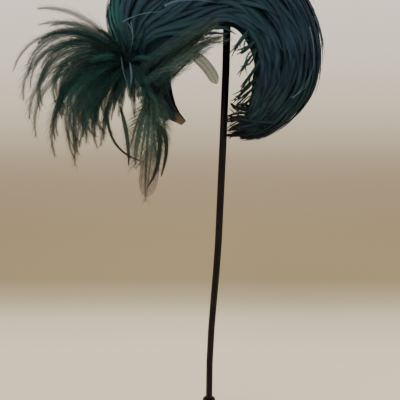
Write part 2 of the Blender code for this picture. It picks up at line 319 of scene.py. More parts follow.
@dataclass
class JoinedMesh:
    """Many small closed forms, gathered as arrays and made into one mesh."""

    points: List[Array] = field(default_factory=list)
    quads: List[Array] = field(default_factory=list)
    triangles: List[Array] = field(default_factory=list)
    places: List[Array] = field(default_factory=list)
    tones: List[Array] = field(default_factory=list)
    count: int = 0
    crease: float = 70.0

    def add(self, points: Array, quads: Array, triangles: Array, places: Array, tone: float) -> None:
        """Adds a form.

        Args:
            points: its corners.
            quads: its faces of four corners.
            triangles: its faces of three corners.
            places: for each corner, its share along the feather and its share across.
            tone: its feather's shade from 0 to 1.
        """
        self.points.append(points)
        self.quads.append(quads + self.count)
        self.triangles.append(triangles + self.count)
        self.places.append(places)
        self.tones.append(np.full(len(points), tone))
        self.count += len(points)

    def triangle_count(self) -> int:
        """The number of triangles so far."""
        return 2 * sum(map(len, self.quads)) + sum(map(len, self.triangles))

    def build(self, name: str) -> bpy.types.Object:
        """Makes the object, with a UV map of the places and an attribute of the tones.

        Args:
            name: the object's name.

        Returns:
            The object.
        """
        points = np.concatenate(self.points)
        quads, triangles = np.concatenate(self.quads), np.concatenate(self.triangles)
        mesh = bpy.data.meshes.new(name)
        mesh.vertices.add(len(points))
        mesh.vertices.foreach_set("co", points.astype(np.float32).ravel())
        corners = np.concatenate([quads.ravel(), triangles.ravel()]).astype(np.int32)
        sizes = np.concatenate([np.full(len(quads), 4), np.full(len(triangles), 3)])
        starts = np.concatenate([[0], np.cumsum(sizes)[:-1]]).astype(np.int32)
        mesh.loops.add(len(corners))
        mesh.loops.foreach_set("vertex_index", corners)
        mesh.polygons.add(len(sizes))
        mesh.polygons.foreach_set("loop_start", starts)
        mesh.update(calc_edges=True)
        uv = mesh.uv_layers.new(name="feather")
        uv.data.foreach_set("uv", np.concatenate(self.places)[corners].astype(np.float32).ravel())
        tone = mesh.attributes.new("tone", "FLOAT", "POINT")
        tone.data.foreach_set("value", np.concatenate(self.tones).astype(np.float32))
        mesh.shade_smooth()
        mesh.set_sharp_from_angle(angle=math.radians(self.crease))
        mesh.validate()
        made = bpy.data.objects.new(name, mesh)
        bpy.context.scene.collection.objects.link(made)
        return made


@dataclass
class Spine:
    """The line of a feather's shaft, and the way that its vane faces."""

    line: Array
    face: Array

    def __post_init__(self) -> None:
        """Works out the heading, the side and the true face at each point."""
        self.heading = unit(np.gradient(self.line, axis=0))
        self.side = unit(np.cross(self.heading, self.face))
        self.face = unit(np.cross(self.side, self.heading))
        steps = np.linalg.norm(np.diff(self.line, axis=0), axis=1)
        self.run = np.concatenate([[0.0], np.cumsum(steps)])
        self.length = float(self.run[-1])

    def at(self, shares: Array) -> Tuple[Array, Array, Array, Array]:
        """Places along the line.

        Args:
            shares: the shares of the length.

        Returns:
            The points, headings, sides and faces there.
        """
        wanted = shares * self.length

        def pick(values: Array) -> Array:
            """The values at the wanted lengths."""
            return np.stack([np.interp(wanted, self.run, column) for column in values.T], axis=1)

        heading, side, face = (unit(pick(part)) for part in (self.heading, self.side, self.face))
        return pick(self.line), heading, side, face

    def rolled(self, turn: float) -> "Spine":
        """The same line with its face turned about it, in radians."""
        return Spine(self.line, self.face * math.cos(turn) + self.side * math.sin(turn))


def bowed(start: Array, middle: Array, end: Array, face: Array, steps: int = 16) -> Spine:
    """A spine through three places.

    Args:
        start: its root.
        middle: where it is half way.
        end: its tip.
        face: the way that its vane faces.
        steps: the points along it.

    Returns:
        The spine.
    """
    share = np.linspace(0, 1, steps)[:, None]
    bend = 2 * middle - (start + end) / 2
    line = (1 - share) ** 2 * start + 2 * share * (1 - share) * bend + share**2 * end
    return Spine(line, np.repeat(face[None], steps, 0))


@dataclass(frozen=True)
class Feather:
    """One feather: a thin vane and barbs at its edges. Lengths in metres, the rest as shares."""

    blade: float = 0.004
    barb: float = 0.006
    barbs: int = 22
    lie: Barbs = Barbs.TIGHT
    shaft: float = 0.0006
    bare: float = 0.08
    thickness: float = 0.0004
    barb_width: float = 0.00035
    cup: float = 0.08
    steps: int = 8
    columns: int = 3
    taper: float = 3.2
    ragged: float = 0.2
    swell: float = 0.25
    fullness: float = 1.02
    cup_power: float = 1.5
    edge_power: float = 0.3
    edge_span: Tuple[float, float] = (0.02, 0.98)
    barb_span: Tuple[float, float] = (0.02, 0.99)
    last_barb: float = 0.985
    barb_jitter: float = 0.35
    barb_seat: float = 0.7
    cup_seat: float = 0.6
    least_barb: float = 0.35
    lean_gain: float = 0.12
    lean_jitter: float = 0.06
    lean_sum: float = 1.15
    late_lean: float = 0.3
    sag_swing: Tuple[float, float] = (0.8, 0.04)

    def outline(self, share: Array) -> Array:
        """The share of its full width that the vane has along the feather."""
        rise = np.clip((share - self.bare / 2) / self.swell, 0.0, 1.0)
        return np.sqrt(rise) * np.clip(self.fullness - share**self.taper, 0.0, 1.0)

    def add_blade(self, mesh: JoinedMesh, spine: Spine, tone: float) -> None:
        """Adds the vane, a thin closed lens that is cupped along its shaft.

        Args:
            mesh: the mesh that gathers it.
            spine: the line that its shaft follows.
            tone: its shade from 0 to 1.
        """
        shares = np.linspace(0.0, 1.0, self.steps)
        middle, _, side, face = spine.at(shares)
        columns = np.linspace(-1.0, 1.0, self.columns)
        width = self.blade * self.outline(shares) + self.shaft / 2
        rows, cols = len(shares), len(columns)
        spread = columns[None, :] * width[:, None]
        cup = -self.cup * np.abs(columns[None, :]) ** self.cup_power * width[:, None]
        body = np.sqrt(1 - columns[None, :] ** 2) * self.thickness / 2
        body = body * np.sin(np.pi * np.clip(shares, *self.edge_span))[:, None] ** self.edge_power
        flat = middle[:, None] + side[:, None] * spread[..., None]
        top = flat + face[:, None] * (cup + body)[..., None]
        low = (flat + face[:, None] * (cup - body)[..., None])[1:-1, 1:-1]
        upper = np.arange(rows * cols).reshape(rows, cols)
        lower = upper.copy()
        inner = (rows - 2) * (cols - 2)
        lower[1:-1, 1:-1] = rows * cols + np.arange(inner).reshape(rows - 2, cols - 2)
        quads = []
        for grid, flip in ((upper, False), (lower, True)):
            ring = [grid[:-1, :-1], grid[:-1, 1:], grid[1:, 1:], grid[1:, :-1]]
            ring = ring[::-1] if flip else ring
            quads.append(np.stack([part.ravel() for part in ring], axis=1))
        along = np.repeat(shares[:, None], cols, 1)
        over = np.repeat(MIDRIB + VANE_EDGE * columns[None, :], rows, 0)
        place = np.stack([along, over], axis=2)
        places = np.concatenate([place.reshape(-1, 2), place[1:-1, 1:-1].reshape(-1, 2)])
        points = np.concatenate([top.reshape(-1, 3), low.reshape(-1, 3)])
        mesh.add(points, np.concatenate(quads), NO_TRIANGLES, places, tone)

    def add_barbs(self, mesh: JoinedMesh, spine: Spine, tone: float, chance: np.random.Generator) -> None:
        """Adds the barbs of both flanks, thin closed spikes that bend towards the tip.

        Args:
            mesh: the mesh that gathers them.
            spine: the line that the shaft follows.
            tone: their shade from 0 to 1.
            chance: the source of their small irregularities.
        """
        lean, sag = self.lie.value
        swing, more = self.sag_swing
        for flank in Flank:
            shares = np.linspace(self.bare, self.last_barb, self.barbs)
            shares = shares + chance.normal(0, self.barb_jitter / self.barbs, self.barbs)
            shares = np.clip(shares, *self.barb_span)
            middle, heading, side, face = spine.at(shares)
            side = side * flank.value
            width = self.outline(shares)[:, None]
            base = middle + side * (self.blade * self.barb_seat * width)
            base = base - face * (self.cup * self.cup_seat * self.blade * width)
            tilt = chance.normal(0, self.lean_jitter, (self.barbs, 1))
            forward = lean + self.lean_gain * shares[:, None] + tilt
            lead = unit(heading * forward + side * (self.lean_sum - forward))
            rough = chance.uniform(1 - self.ragged * 2, 1 + self.ragged, (self.barbs, 1))
            length = self.barb * (self.least_barb + (1 - self.least_barb) * width) * rough
            droop = face * chance.normal(-sag, sag * swing + more, (self.barbs, 1))
            late = unit(lead + heading * self.late_lean + droop)
            add_spikes(mesh, (base, lead, late, face), length, self.barb_width, shares, flank, tone)

    def add(self, mesh: JoinedMesh, spine: Spine, tone: float, chance: np.random.Generator) -> None:
        """Adds the whole feather along a spine.

        Args:
            mesh: the mesh that gathers it.
            spine: the line that its shaft follows.
            tone: its shade from 0 to 1.
            chance: the source of its small irregularities.
        """
        self.add_blade(mesh, spine, tone)
        self.add_barbs(mesh, spine, tone, chance)


def add_spikes(
    mesh: JoinedMesh,
    ways: Tuple[Array, Array, Array, Array],
    length: Array,
    width: float,
    shares: Array,
    flank: Flank,
    tone: float,
) -> None:
    """Adds thin closed spikes of three sides that bend once.

    Args:
        mesh: the mesh that gathers them.
        ways: their roots, their directions at the root and past the bend, and their backs'.
        length: their lengths.
        width: their width at the root.
        shares: their places along the feather.
        flank: the side of the shaft that they stand on.
        tone: their shade.
    """
    base, lead, late, face = ways
    knee = base + lead * length * SPIKE_KNEE
    tip = knee + late * length * (1 - SPIKE_KNEE)
    over = unit(np.cross(lead, face))
    ring = []
    for centre, size in ((base, width), (knee, width * SPIKE_TAPER)):
        ring += [centre + over * size / 2, centre - over * size / 2, centre + face * size * SPIKE_RIDGE]
    points = np.stack(ring + [tip], axis=1)
    count = len(points)
    start = np.arange(count)[:, None] * SPIKE_CORNERS
    a0, b0, c0, a1, b1, c1, end = range(SPIKE_CORNERS)
    quads = np.array([[c0, a0, a1, c1], [b0, c0, c1, b1], [a0, b0, b1, a1]])
    triangles = np.array([[a0, c0, b0], [c1, a1, end], [b1, c1, end], [a1, b1, end]])
    reach = np.array([0, 0, 0, SPIKE_KNEE, SPIKE_KNEE, SPIKE_KNEE, 1.0])
    across = MIDRIB + flank.value * (VANE_EDGE + VANE_EDGE * np.repeat(reach[None], count, 0))
    along = np.repeat(shares[:, None], SPIKE_CORNERS, 1)
    mesh.add(
        points.reshape(-1, 3),
        (quads[None] + start[:, None]).reshape(-1, 4),
        (triangles[None] + start[:, None]).reshape(-1, 3),
        np.stack([along, across], axis=2).reshape(-1, 2),
        tone,
    )


def add_shaft(mesh: JoinedMesh, spine: Spine, width: float, tone: float, steps: int = 8) -> None:
    """Adds a feather's shaft, a closed quill of four sides that tapers to its tip.

    Args:
        mesh: the mesh that gathers it.
        spine: the line that it follows.
        width: its width at the root.
        tone: its shade.
        steps: the points along it.
    """
    shares = np.linspace(0.0, 1.0, steps)
    middle, _, side, face = spine.at(shares)
    taper = (width / 2 * (1 - SHAFT_TAPER * shares))[:, None]
    ring = np.stack([middle + corner * taper for corner in (side, face, -side, -face)], axis=1)
    index = np.arange(steps * SHAFT_SIDES).reshape(steps, SHAFT_SIDES)
    ahead = np.roll(index, -1, axis=1)
    quads = np.stack([index[:-1], index[1:], ahead[1:], ahead[:-1]], axis=2).reshape(-1, 4)
    ends = np.array([index[0], index[-1][::-1]])
    places = np.stack([np.repeat(shares, SHAFT_SIDES), np.full(index.size, MIDRIB)], axis=1)
    mesh.add(ring.reshape(-1, 3), np.concatenate([quads, ends]), NO_TRIANGLES, places, tone)


# Finishes

# The Mix node's sockets for colours: factor, first, second, and the result
MIX_INPUTS = (0, 6, 7)
MIX_RESULT = 2


def feed(tree: Tree, socket: Socket, value: Value) -> None:
    """Gives an input its value.

    Args:
        tree: the node tree.
        socket: the input.
        value: a socket to link, a colour or a number.
    """
    if isinstance(value, bpy.types.NodeSocket):
        tree.links.new(value, socket)
    else:
        socket.default_value = (*value, 1.0) if isinstance(value, tuple) else value


def add_node(tree: Tree, kind: str, inputs: Dict[Union[str, int], Value]) -> bpy.types.Node:
    """A new node with its inputs fed.

    Args:
        tree: the node tree.
        kind: the node's type.
        inputs: a value for each input that is named or counted here.

    Returns:
        The node.
    """
    made = tree.nodes.new(kind)
    for key, value in inputs.items():
        feed(tree, made.inputs[key], value)
    return made


def new_group(
    name: str, inputs: Sequence[Tuple[str, float]], outputs: Sequence[str]
) -> Tuple[Tree, bpy.types.Node, bpy.types.Node]:
    """A shader node group with named number inputs and outputs.

    Args:
        name: the group's name.
        inputs: a name and a default value for each input.
        outputs: a name for each output.

    Returns:
        The group with its input node and its output node.
    """
    group = bpy.data.node_groups.new(name, "ShaderNodeTree")
    for label, value in inputs:
        socket = group.interface.new_socket(label, in_out="INPUT", socket_type="NodeSocketFloat")
        socket.default_value = value
    for label in outputs:
        group.interface.new_socket(label, in_out="OUTPUT", socket_type="NodeSocketFloat")
    return group, group.nodes.new("NodeGroupInput"), group.nodes.new("NodeGroupOutput")


def add_group(tree: Tree, group: Tree, inputs: Dict[Union[str, int], Value]) -> bpy.types.NodeOutputs:
    """The outputs of a shared group, used in a tree.

    Args:
        tree: the node tree.
        group: the shared group.
        inputs: a value for each of its inputs.

    Returns:
        Its outputs.
    """
    made = tree.nodes.new("ShaderNodeGroup")
    made.node_tree = group
    for label, value in inputs.items():
        feed(tree, made.inputs[label], value)
    return made.outputs


def math_node(tree: Tree, operation: str, *values: Value) -> Socket:
    """A Math node's result.

    Args:
        tree: the node tree.
        operation: what it does.
        values: its inputs, sockets or plain numbers.

    Returns:
        The result.
    """
    node = add_node(tree, "ShaderNodeMath", dict(enumerate(values)))
    node.operation = operation
    return node.outputs[0]


def span_node(tree: Tree, value: Socket, low: float, high: float) -> Socket:
    """A smooth rise from 0 to 1.

    Args:
        tree: the node tree.
        value: what is read.
        low: where the rise starts.
        high: where it ends.

    Returns:
        The result.
    """
    node = add_node(tree, "ShaderNodeMapRange", {"Value": value, "From Min": low, "From Max": high})
    node.interpolation_type = "SMOOTHSTEP"
    return node.outputs["Result"]


def ramp_node(tree: Tree, value: Socket, stops: Sequence[Tuple[float, Colour]]) -> Socket:
    """A colour from a value.

    Args:
        tree: the node tree.
        value: what is read.
        stops: places with their colours, in order.

    Returns:
        The colour.
    """
    node = add_node(tree, "ShaderNodeValToRGB", {"Fac": value})
    elements = node.color_ramp.elements
    for element, (place, colour) in zip(elements, (stops[0], stops[-1])):
        element.position, element.color = place, (*colour, 1.0)
    for place, colour in stops[1:-1]:
        elements.new(place).color = (*colour, 1.0)
    return node.outputs["Color"]


def mix_colours(tree: Tree, factor: Value, first: Value, second: Value) -> Socket:
    """A mix of two colours.

    Args:
        tree: the node tree.
        factor: how much of the second it takes.
        first: a colour.
        second: another colour.

    Returns:
        The mixed colour.
    """
    node = tree.nodes.new("ShaderNodeMix")
    node.data_type = "RGBA"
    for place, value in zip(MIX_INPUTS, (factor, first, second)):
        feed(tree, node.inputs[place], value)
    return node.outputs[MIX_RESULT]


def object_place(tree: Tree) -> Socket:
    """A place in the object's own space."""
    return tree.nodes.new("ShaderNodeTexCoord").outputs["Object"]


def object_axis(tree: Tree, axis: Axis) -> Socket:
    """A coordinate of the object's own space."""
    return add_node(tree, "ShaderNodeSeparateXYZ", {0: object_place(tree)}).outputs[axis.value]


def feather_place(tree: Tree) -> bpy.types.NodeOutputs:
    """The place on a feather, from its UV map.

    Args:
        tree: the node tree.

    Returns:
        Outputs with the share along the feather as X and the share across as Y.
    """
    uv = tree.nodes.new("ShaderNodeUVMap")
    uv.uv_map = "feather"
    return add_node(tree, "ShaderNodeSeparateXYZ", {0: uv.outputs["UV"]}).outputs


def own_tone(tree: Tree) -> Socket:
    """A feather's own shade, from its attribute.

    Args:
        tree: the node tree.

    Returns:
        The shade from 0 to 1.
    """
    tone = tree.nodes.new("ShaderNodeAttribute")
    tone.attribute_name = "tone"
    return tone.outputs["Fac"]


def noise_node(tree: Tree, scale: Value, detail: float = 3.0) -> Socket:
    """Noise over the object's own space."""
    inputs = {"Vector": object_place(tree), "Scale": scale, "Detail": detail}
    return add_node(tree, "ShaderNodeTexNoise", inputs).outputs["Fac"]


def bump_node(tree: Tree, height: Socket, strength: float, distance: float) -> Socket:
    """A normal from a height."""
    inputs = {"Strength": strength, "Distance": distance, "Height": height}
    return add_node(tree, "ShaderNodeBump", inputs).outputs["Normal"]


def new_material(name: str) -> Tuple[bpy.types.Material, Tree, bpy.types.Node]:
    """A new material.

    Args:
        name: its name.

    Returns:
        The material with its node tree and its Principled shader.
    """
    made = bpy.data.materials.new(name)
    made.use_nodes = True
    return made, made.node_tree, made.node_tree.nodes["Principled BSDF"]


def scaled(colour: Colour, share: float) -> Colour:
    """A colour made darker or lighter."""
    return tuple(min(1.0, part * share) for part in colour)


def mixed(first: Colour, second: Colour, share: float) -> Colour:
    """A colour between two others."""
    return tuple(one * (1 - share) + other * share for one, other in zip(first, second))


@dataclass
class PlumeEffects:
    """The node groups that every feather finish uses, with their sizes."""

    tone_shift: float = 40.0
    fine: Tuple[float, float] = (1.0, 2.0)
    strands: Tuple[float, float] = (0.22, 3.0)
    noise_span: Tuple[float, float] = (0.3, 0.7)
    shaft_half: float = 0.035

    def __post_init__(self) -> None:
        """Builds the groups once."""
        self.barb_lines = self.build_barb_lines()
        self.shade_drift = self.build_shade_drift()

    def build_barb_lines(self) -> Tree:
        """Fine slanted lines on both flanks of a vane, broad strands, and the shaft's place.

        Returns:
            The group.
        """
        inputs = [("Lines", 60.0), ("Slant", 0.8)]
        group, source, result = new_group("barb_lines", inputs, ["Fine", "Strands", "Shaft"])
        place = feather_place(group)
        away = math_node(group, "ABSOLUTE", math_node(group, "SUBTRACT", place["Y"], MIDRIB))
        slanted = math_node(group, "MULTIPLY", away, source.outputs["Slant"])
        phase = math_node(group, "SUBTRACT", place["X"], slanted)
        waves = math_node(group, "MULTIPLY", phase, source.outputs["Lines"])
        shifted = math_node(group, "MULTIPLY_ADD", own_tone(group), self.tone_shift, waves)
        for label, (scale, detail) in (("Fine", self.fine), ("Strands", self.strands)):
            noise = group.nodes.new("ShaderNodeTexNoise")
            noise.noise_dimensions = "1D"
            for name, value in (("Scale", scale), ("Detail", detail), ("W", shifted)):
                feed(group, noise.inputs[name], value)
            feed(group, result.inputs[label], span_node(group, noise.outputs["Fac"], *self.noise_span))
        beside = span_node(group, away, 0.0, self.shaft_half)
        feed(group, result.inputs["Shaft"], math_node(group, "SUBTRACT", 1.0, beside))
        return group

    def build_shade_drift(self) -> Tree:
        """A shade from 0 to 1 that changes from feather to feather and over the hat.

        Returns:
            The group.
        """
        inputs = [("Patch Size", 18.0), ("Own Share", 0.6)]
        group, source, result = new_group("shade_drift", inputs, ["Shade"])
        noise = noise_node(group, source.outputs["Patch Size"])
        parts = {"Factor": source.outputs["Own Share"], "A": noise, "B": own_tone(group)}
        shade = add_node(group, "ShaderNodeMix", parts).outputs["Result"]
        feed(group, result.inputs["Shade"], shade)
        return group


class Blend(NamedTuple):
    """A colour that takes over along an axis, from one place to another."""

    axis: Axis
    start: float
    end: float
    colour: Colour


@dataclass(frozen=True)
class PlumeFinish:
    """A feather's finish: its colour, its tips, its gloss and how much light it lets through."""

    name: str
    colour: Colour
    tip: Colour
    shaft: Colour
    blends: Tuple[Blend, ...] = ()
    contrast: float = 2.0
    roughness: float = 0.50
    specular: float = 0.10
    lines: float = 60.0
    slant: float = 0.8
    tip_start: float = 0.62
    solid: float = 1.0
    patch: float = 18.0
    patches: Optional[Colour] = None
    root_share: float = 1.0
    root_reach: float = 0.34
    shade_stops: Tuple[float, float, float] = (0.25, 0.5, 0.8)
    patch_span: Tuple[float, float] = (0.42, 0.62)
    own_share: float = 0.5
    strand_share: float = 0.30
    line_share: float = 0.5
    line_dark: float = 0.25
    shaft_share: float = 0.5
    rough_spread: float = 0.2
    bump: float = 0.35
    bump_height: float = 0.0003
    gap_share: float = 0.5
    held_share: float = 0.2
    solid_shaft: float = 0.9
    solid_root: float = 0.95

    def shades(self, tree: Tree, shade: Socket, colour: Colour) -> Socket:
        """A colour with its darker and lighter shades."""
        tones = (scaled(colour, 1 / self.contrast), colour, scaled(colour, self.contrast))
        return ramp_node(tree, shade, list(zip(self.shade_stops, tones)))

    def body(self, tree: Tree, shade: Socket) -> Socket:
        """The vane's colour, with the blends and patches of this finish.

        Args:
            tree: the material's node tree.
            shade: the shade from 0 to 1.

        Returns:
            The colour.
        """
        body = self.shades(tree, shade, self.colour)
        for blend in self.blends:
            taken = span_node(tree, object_axis(tree, blend.axis), blend.start, blend.end)
            body = mix_colours(tree, taken, body, self.shades(tree, shade, blend.colour))
        if self.patches:
            cloud = span_node(tree, noise_node(tree, self.patch), *self.patch_span)
            body = mix_colours(tree, cloud, body, self.shades(tree, shade, self.patches))
        return body

    def cover(self, tree: Tree, barbs: bpy.types.NodeOutputs, near: Optional[Socket]) -> Socket:
        """How much of the light the vane stops.

        Args:
            tree: the material's node tree.
            barbs: the outputs of the barb lines.
            near: how near the root is, where the root is closed.

        Returns:
            The share that is stopped.
        """
        gaps = math_node(tree, "MULTIPLY", barbs["Fine"], -self.gap_share * (1 - self.solid))
        held = math_node(tree, "ADD", gaps, self.solid + self.held_share * (1 - self.solid))
        shaft = math_node(tree, "MULTIPLY", barbs["Shaft"], self.solid_shaft)
        kept = math_node(tree, "MAXIMUM", held, shaft)
        if near is not None:
            root = math_node(tree, "MULTIPLY", near, self.solid_root)
            kept = math_node(tree, "MAXIMUM", kept, root)
        return kept

    def build(self, effects: PlumeEffects) -> bpy.types.Material:
        """Makes the material.

        Args:
            effects: the shared node groups.

        Returns:
            The material.
        """
        made, tree, shader = new_material(self.name)
        link = tree.links.new
        sizes = {"Patch Size": self.patch, "Own Share": self.own_share}
        drift = add_group(tree, effects.shade_drift, sizes)
        barbs = add_group(tree, effects.barb_lines, {"Lines": self.lines, "Slant": self.slant})
        shade = math_node(tree, "MULTIPLY_ADD", barbs["Strands"], self.strand_share, drift["Shade"])
        shade = math_node(tree, "SUBTRACT", shade, self.strand_share / 2)
        lines = math_node(tree, "MULTIPLY", barbs["Fine"], self.line_share)
        colour = mix_colours(tree, lines, self.body(tree, shade), scaled(self.colour, self.line_dark))
        along, near = feather_place(tree)["X"], None
        if self.root_share < 1:
            near = span_node(tree, along, self.root_reach, 0.0)
            colour = mix_colours(tree, near, colour, scaled(self.colour, self.root_share))
        colour = mix_colours(tree, span_node(tree, along, self.tip_start, 1.0), colour, self.tip)
        shafted = math_node(tree, "MULTIPLY", barbs["Shaft"], self.shaft_share)
        link(mix_colours(tree, shafted, colour, self.shaft), shader.inputs["Base Color"])
        least = self.roughness - self.rough_spread / 2
        rough = math_node(tree, "MULTIPLY_ADD", barbs["Strands"], self.rough_spread, least)
        link(rough, shader.inputs["Roughness"])
        shader.inputs["Specular IOR Level"].default_value = self.specular
        link(bump_node(tree, barbs["Fine"], self.bump, self.bump_height), shader.inputs["Normal"])
        if self.solid < 1:
            link(self.cover(tree, barbs, near), shader.inputs["Alpha"])
        return made


# The pile under the feathers and in the knots: the under-feathers' colour, darkened as painted shade in
# the gaps between feathers
PILE_AND_SHADE = PlumeFinish(
    name="pile_and_painted_shade",
    colour=(0.0075, 0.0190, 0.0260),
    tip=(0.0075, 0.0170, 0.0240),
    shaft=(0.0075, 0.0190, 0.0260),
    specular=0.03,
    roughness=0.8,
)


@dataclass(frozen=True)
class FeltFinish:
    """Dark felt with a short nap, brown along its lowest edge."""

    name: str = "felt_dark"
    body: Colour = (0.006, 0.010, 0.012)
    fleck: Colour = (0.014, 0.020, 0.022)
    # Brown along the lowest edge, with a ragged border
    lighter_tone: Colour = (0.100, 0.068, 0.045)
    low_edge_height: float = 0.416
    low_edge_reach: float = 0.009
    low_edge_stray: float = 0.008
    fibres: Tuple[float, float] = (900.0, 4.0)
    clouds: Tuple[float, float] = (35.0, 3.0)
    cloud_share: float = 0.5
    fleck_span: Tuple[float, float] = (0.35, 0.75)
    roughness: float = 0.92
    specular: float = 0.2
    sheen: float = 0.08
    nap: Tuple[float, float] = (0.5, 0.0006)

    def build(self) -> bpy.types.Material:
        """Makes the material.

        Returns:
            The material.
        """
        made, tree, shader = new_material(self.name)
        link = tree.links.new
        fibre, cloud = noise_node(tree, *self.fibres), noise_node(tree, *self.clouds)
        drift = math_node(tree, "MULTIPLY_ADD", cloud, self.cloud_share, -self.cloud_share / 2)
        flecks = math_node(tree, "ADD", fibre, drift)
        body = ramp_node(tree, flecks, list(zip(self.fleck_span, (self.body, self.fleck))))
        ragged = math_node(tree, "MULTIPLY_ADD", cloud, self.low_edge_stray, object_axis(tree, Axis.Z))
        low = span_node(tree, ragged, self.low_edge_height + self.low_edge_reach, self.low_edge_height)
        link(mix_colours(tree, low, body, self.lighter_tone), shader.inputs["Base Color"])
        shader.inputs["Roughness"].default_value = self.roughness
        shader.inputs["Specular IOR Level"].default_value = self.specular
        shader.inputs["Sheen Weight"].default_value = self.sheen
        link(bump_node(tree, fibre, *self.nap), shader.inputs["Normal"])
        return made


@dataclass(frozen=True)
class LacquerFinish:
    """Black lacquer on steel, with faint wear and dust."""

    name: str = "lacquer_black"
    body: Colour = (0.0020, 0.0014, 0.0016)
    lighter_tone: Colour = (0.010, 0.007, 0.006)
    worn_span: Tuple[float, float] = (0.45, 0.8)
    clouds: Tuple[float, float] = (60.0, 5.0)
    grains: Tuple[float, float] = (700.0, 3.0)
    roughness: float = 0.34
    rough_spread: float = 0.22
    specular: float = 0.14
    grain: Tuple[float, float] = (0.12, 0.0002)

    def build(self) -> bpy.types.Material:
        """Makes the material.

        Returns:
            The material.
        """
        made, tree, shader = new_material(self.name)
        link = tree.links.new
        cloud, grain = noise_node(tree, *self.clouds), noise_node(tree, *self.grains)
        body = ramp_node(tree, cloud, list(zip(self.worn_span, (self.body, self.lighter_tone))))
        link(body, shader.inputs["Base Color"])
        rough = math_node(tree, "MULTIPLY_ADD", cloud, self.rough_spread, self.roughness)
        link(rough, shader.inputs["Roughness"])
        shader.inputs["Specular IOR Level"].default_value = self.specular
        link(bump_node(tree, grain, *self.grain), shader.inputs["Normal"])
        return made


@dataclass(frozen=True)
class StageFinish:
    """The plain pale sweep, painted lighter up the wall, with a soft band of painted shade where floor
    meets wall.
    """

    name: str = "pale_sweep"
    # Colours along the sweep, painted as light and shade: pale near the front, a band of painted shade
    # where floor meets wall, then painted light growing up the wall to its top
    low: Colour = (0.94, 0.82, 0.60)
    painted_shade_band: Colour = (0.364, 0.280, 0.155)
    shaded_tan: Colour = (0.500, 0.395, 0.275)
    pale: Colour = (0.790, 0.715, 0.560)
    high: Colour = (1.000, 0.930, 0.830)
    reach: float = 7.0
    floor_end: float = 0.22
    band_rise: Tuple[Tuple[float, float], ...] = ((0.33, 0.22), (0.42, 0.72), (0.54, 1.0), (1.0, 1.0))
    wall: Tuple[float, float, float] = (3.20, 4.85, 6.40)
    clouds: Tuple[float, float] = (3.0, 3.0)
    cloud_share: float = 0.05
    roughness: float = 0.9
    specular: float = 0.1

    def build(self) -> bpy.types.Material:
        """Makes the material.

        Returns:
            The material.
        """
        made, tree, shader = new_material(self.name)
        share = math_node(tree, "DIVIDE", object_axis(tree, Axis.Y), self.reach)
        stops = [(self.floor_end, self.low)]
        stops += [(place, mixed(self.low, self.painted_shade_band, part)) for place, part in self.band_rise]
        stops += list(zip(self.wall, (self.shaded_tan, self.pale, self.high)))
        # The ramp paints the light and shade of the sweep by the place along it
        colour = ramp_node(tree, share, [(place / self.reach, tint) for place, tint in stops])
        cloud = math_node(tree, "MULTIPLY", noise_node(tree, *self.clouds), self.cloud_share)
        colour = mix_colours(tree, cloud, colour, self.shaded_tan)
        tree.links.new(colour, shader.inputs["Base Color"])
        shader.inputs["Roughness"].default_value = self.roughness
        shader.inputs["Specular IOR Level"].default_value = self.specular
        return made


# Sub-assemblies


def dress(piece: bpy.types.Object, finish: bpy.types.Material, slot: str, *nodes: str) -> None:
    """Gives a new piece its finish and its body, and hides the nodes that it stands for.

    Args:
        piece: the new piece.
        finish: its material.
        slot: the record's slot, which is not used.
        nodes: the nodes that it replaces.
    """
    piece.data.materials.clear()
    piece.data.materials.append(finish)
    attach(piece, "root")
    if nodes:
        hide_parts(*nodes)
    LOG.info("%s: %d corners", piece.name, len(piece.data.vertices))


def repaint(node: str, finish: bpy.types.Material) -> None:
    """Gives a node of the frame a better finish.

    Args:
        node: the node.
        finish: its material.
    """
    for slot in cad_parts[node].material_slots:
        slot.material = finish
    LOG.info("%s: repainted", node)


@dataclass
class RodStand:
    """The foot, collar, rod and knob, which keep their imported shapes."""

    nodes: Tuple[str, ...] = ("stand_base", "stand_collar", "stand_rod", "stand_knob")

    def build(self) -> None:
        """Dresses the four nodes in black lacquer."""
        finish = LacquerFinish().build()
        for node in self.nodes:
            repaint(node, finish)


@dataclass
class FeltHalfHat:
    """The felt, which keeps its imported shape."""

    node: str = "felt_foundation"

    def build(self) -> None:
        """Dresses the felt."""
        repaint(self.node, FeltFinish().build())


class Tract(NamedTuple):
    """A field of feathers on the cover: its rows' angles, its places across and its feathers."""

    name: str
    first: float
    last: float
    step: float
    front: float
    back: float
    across: int
    length: float
    lift: float
    way: int


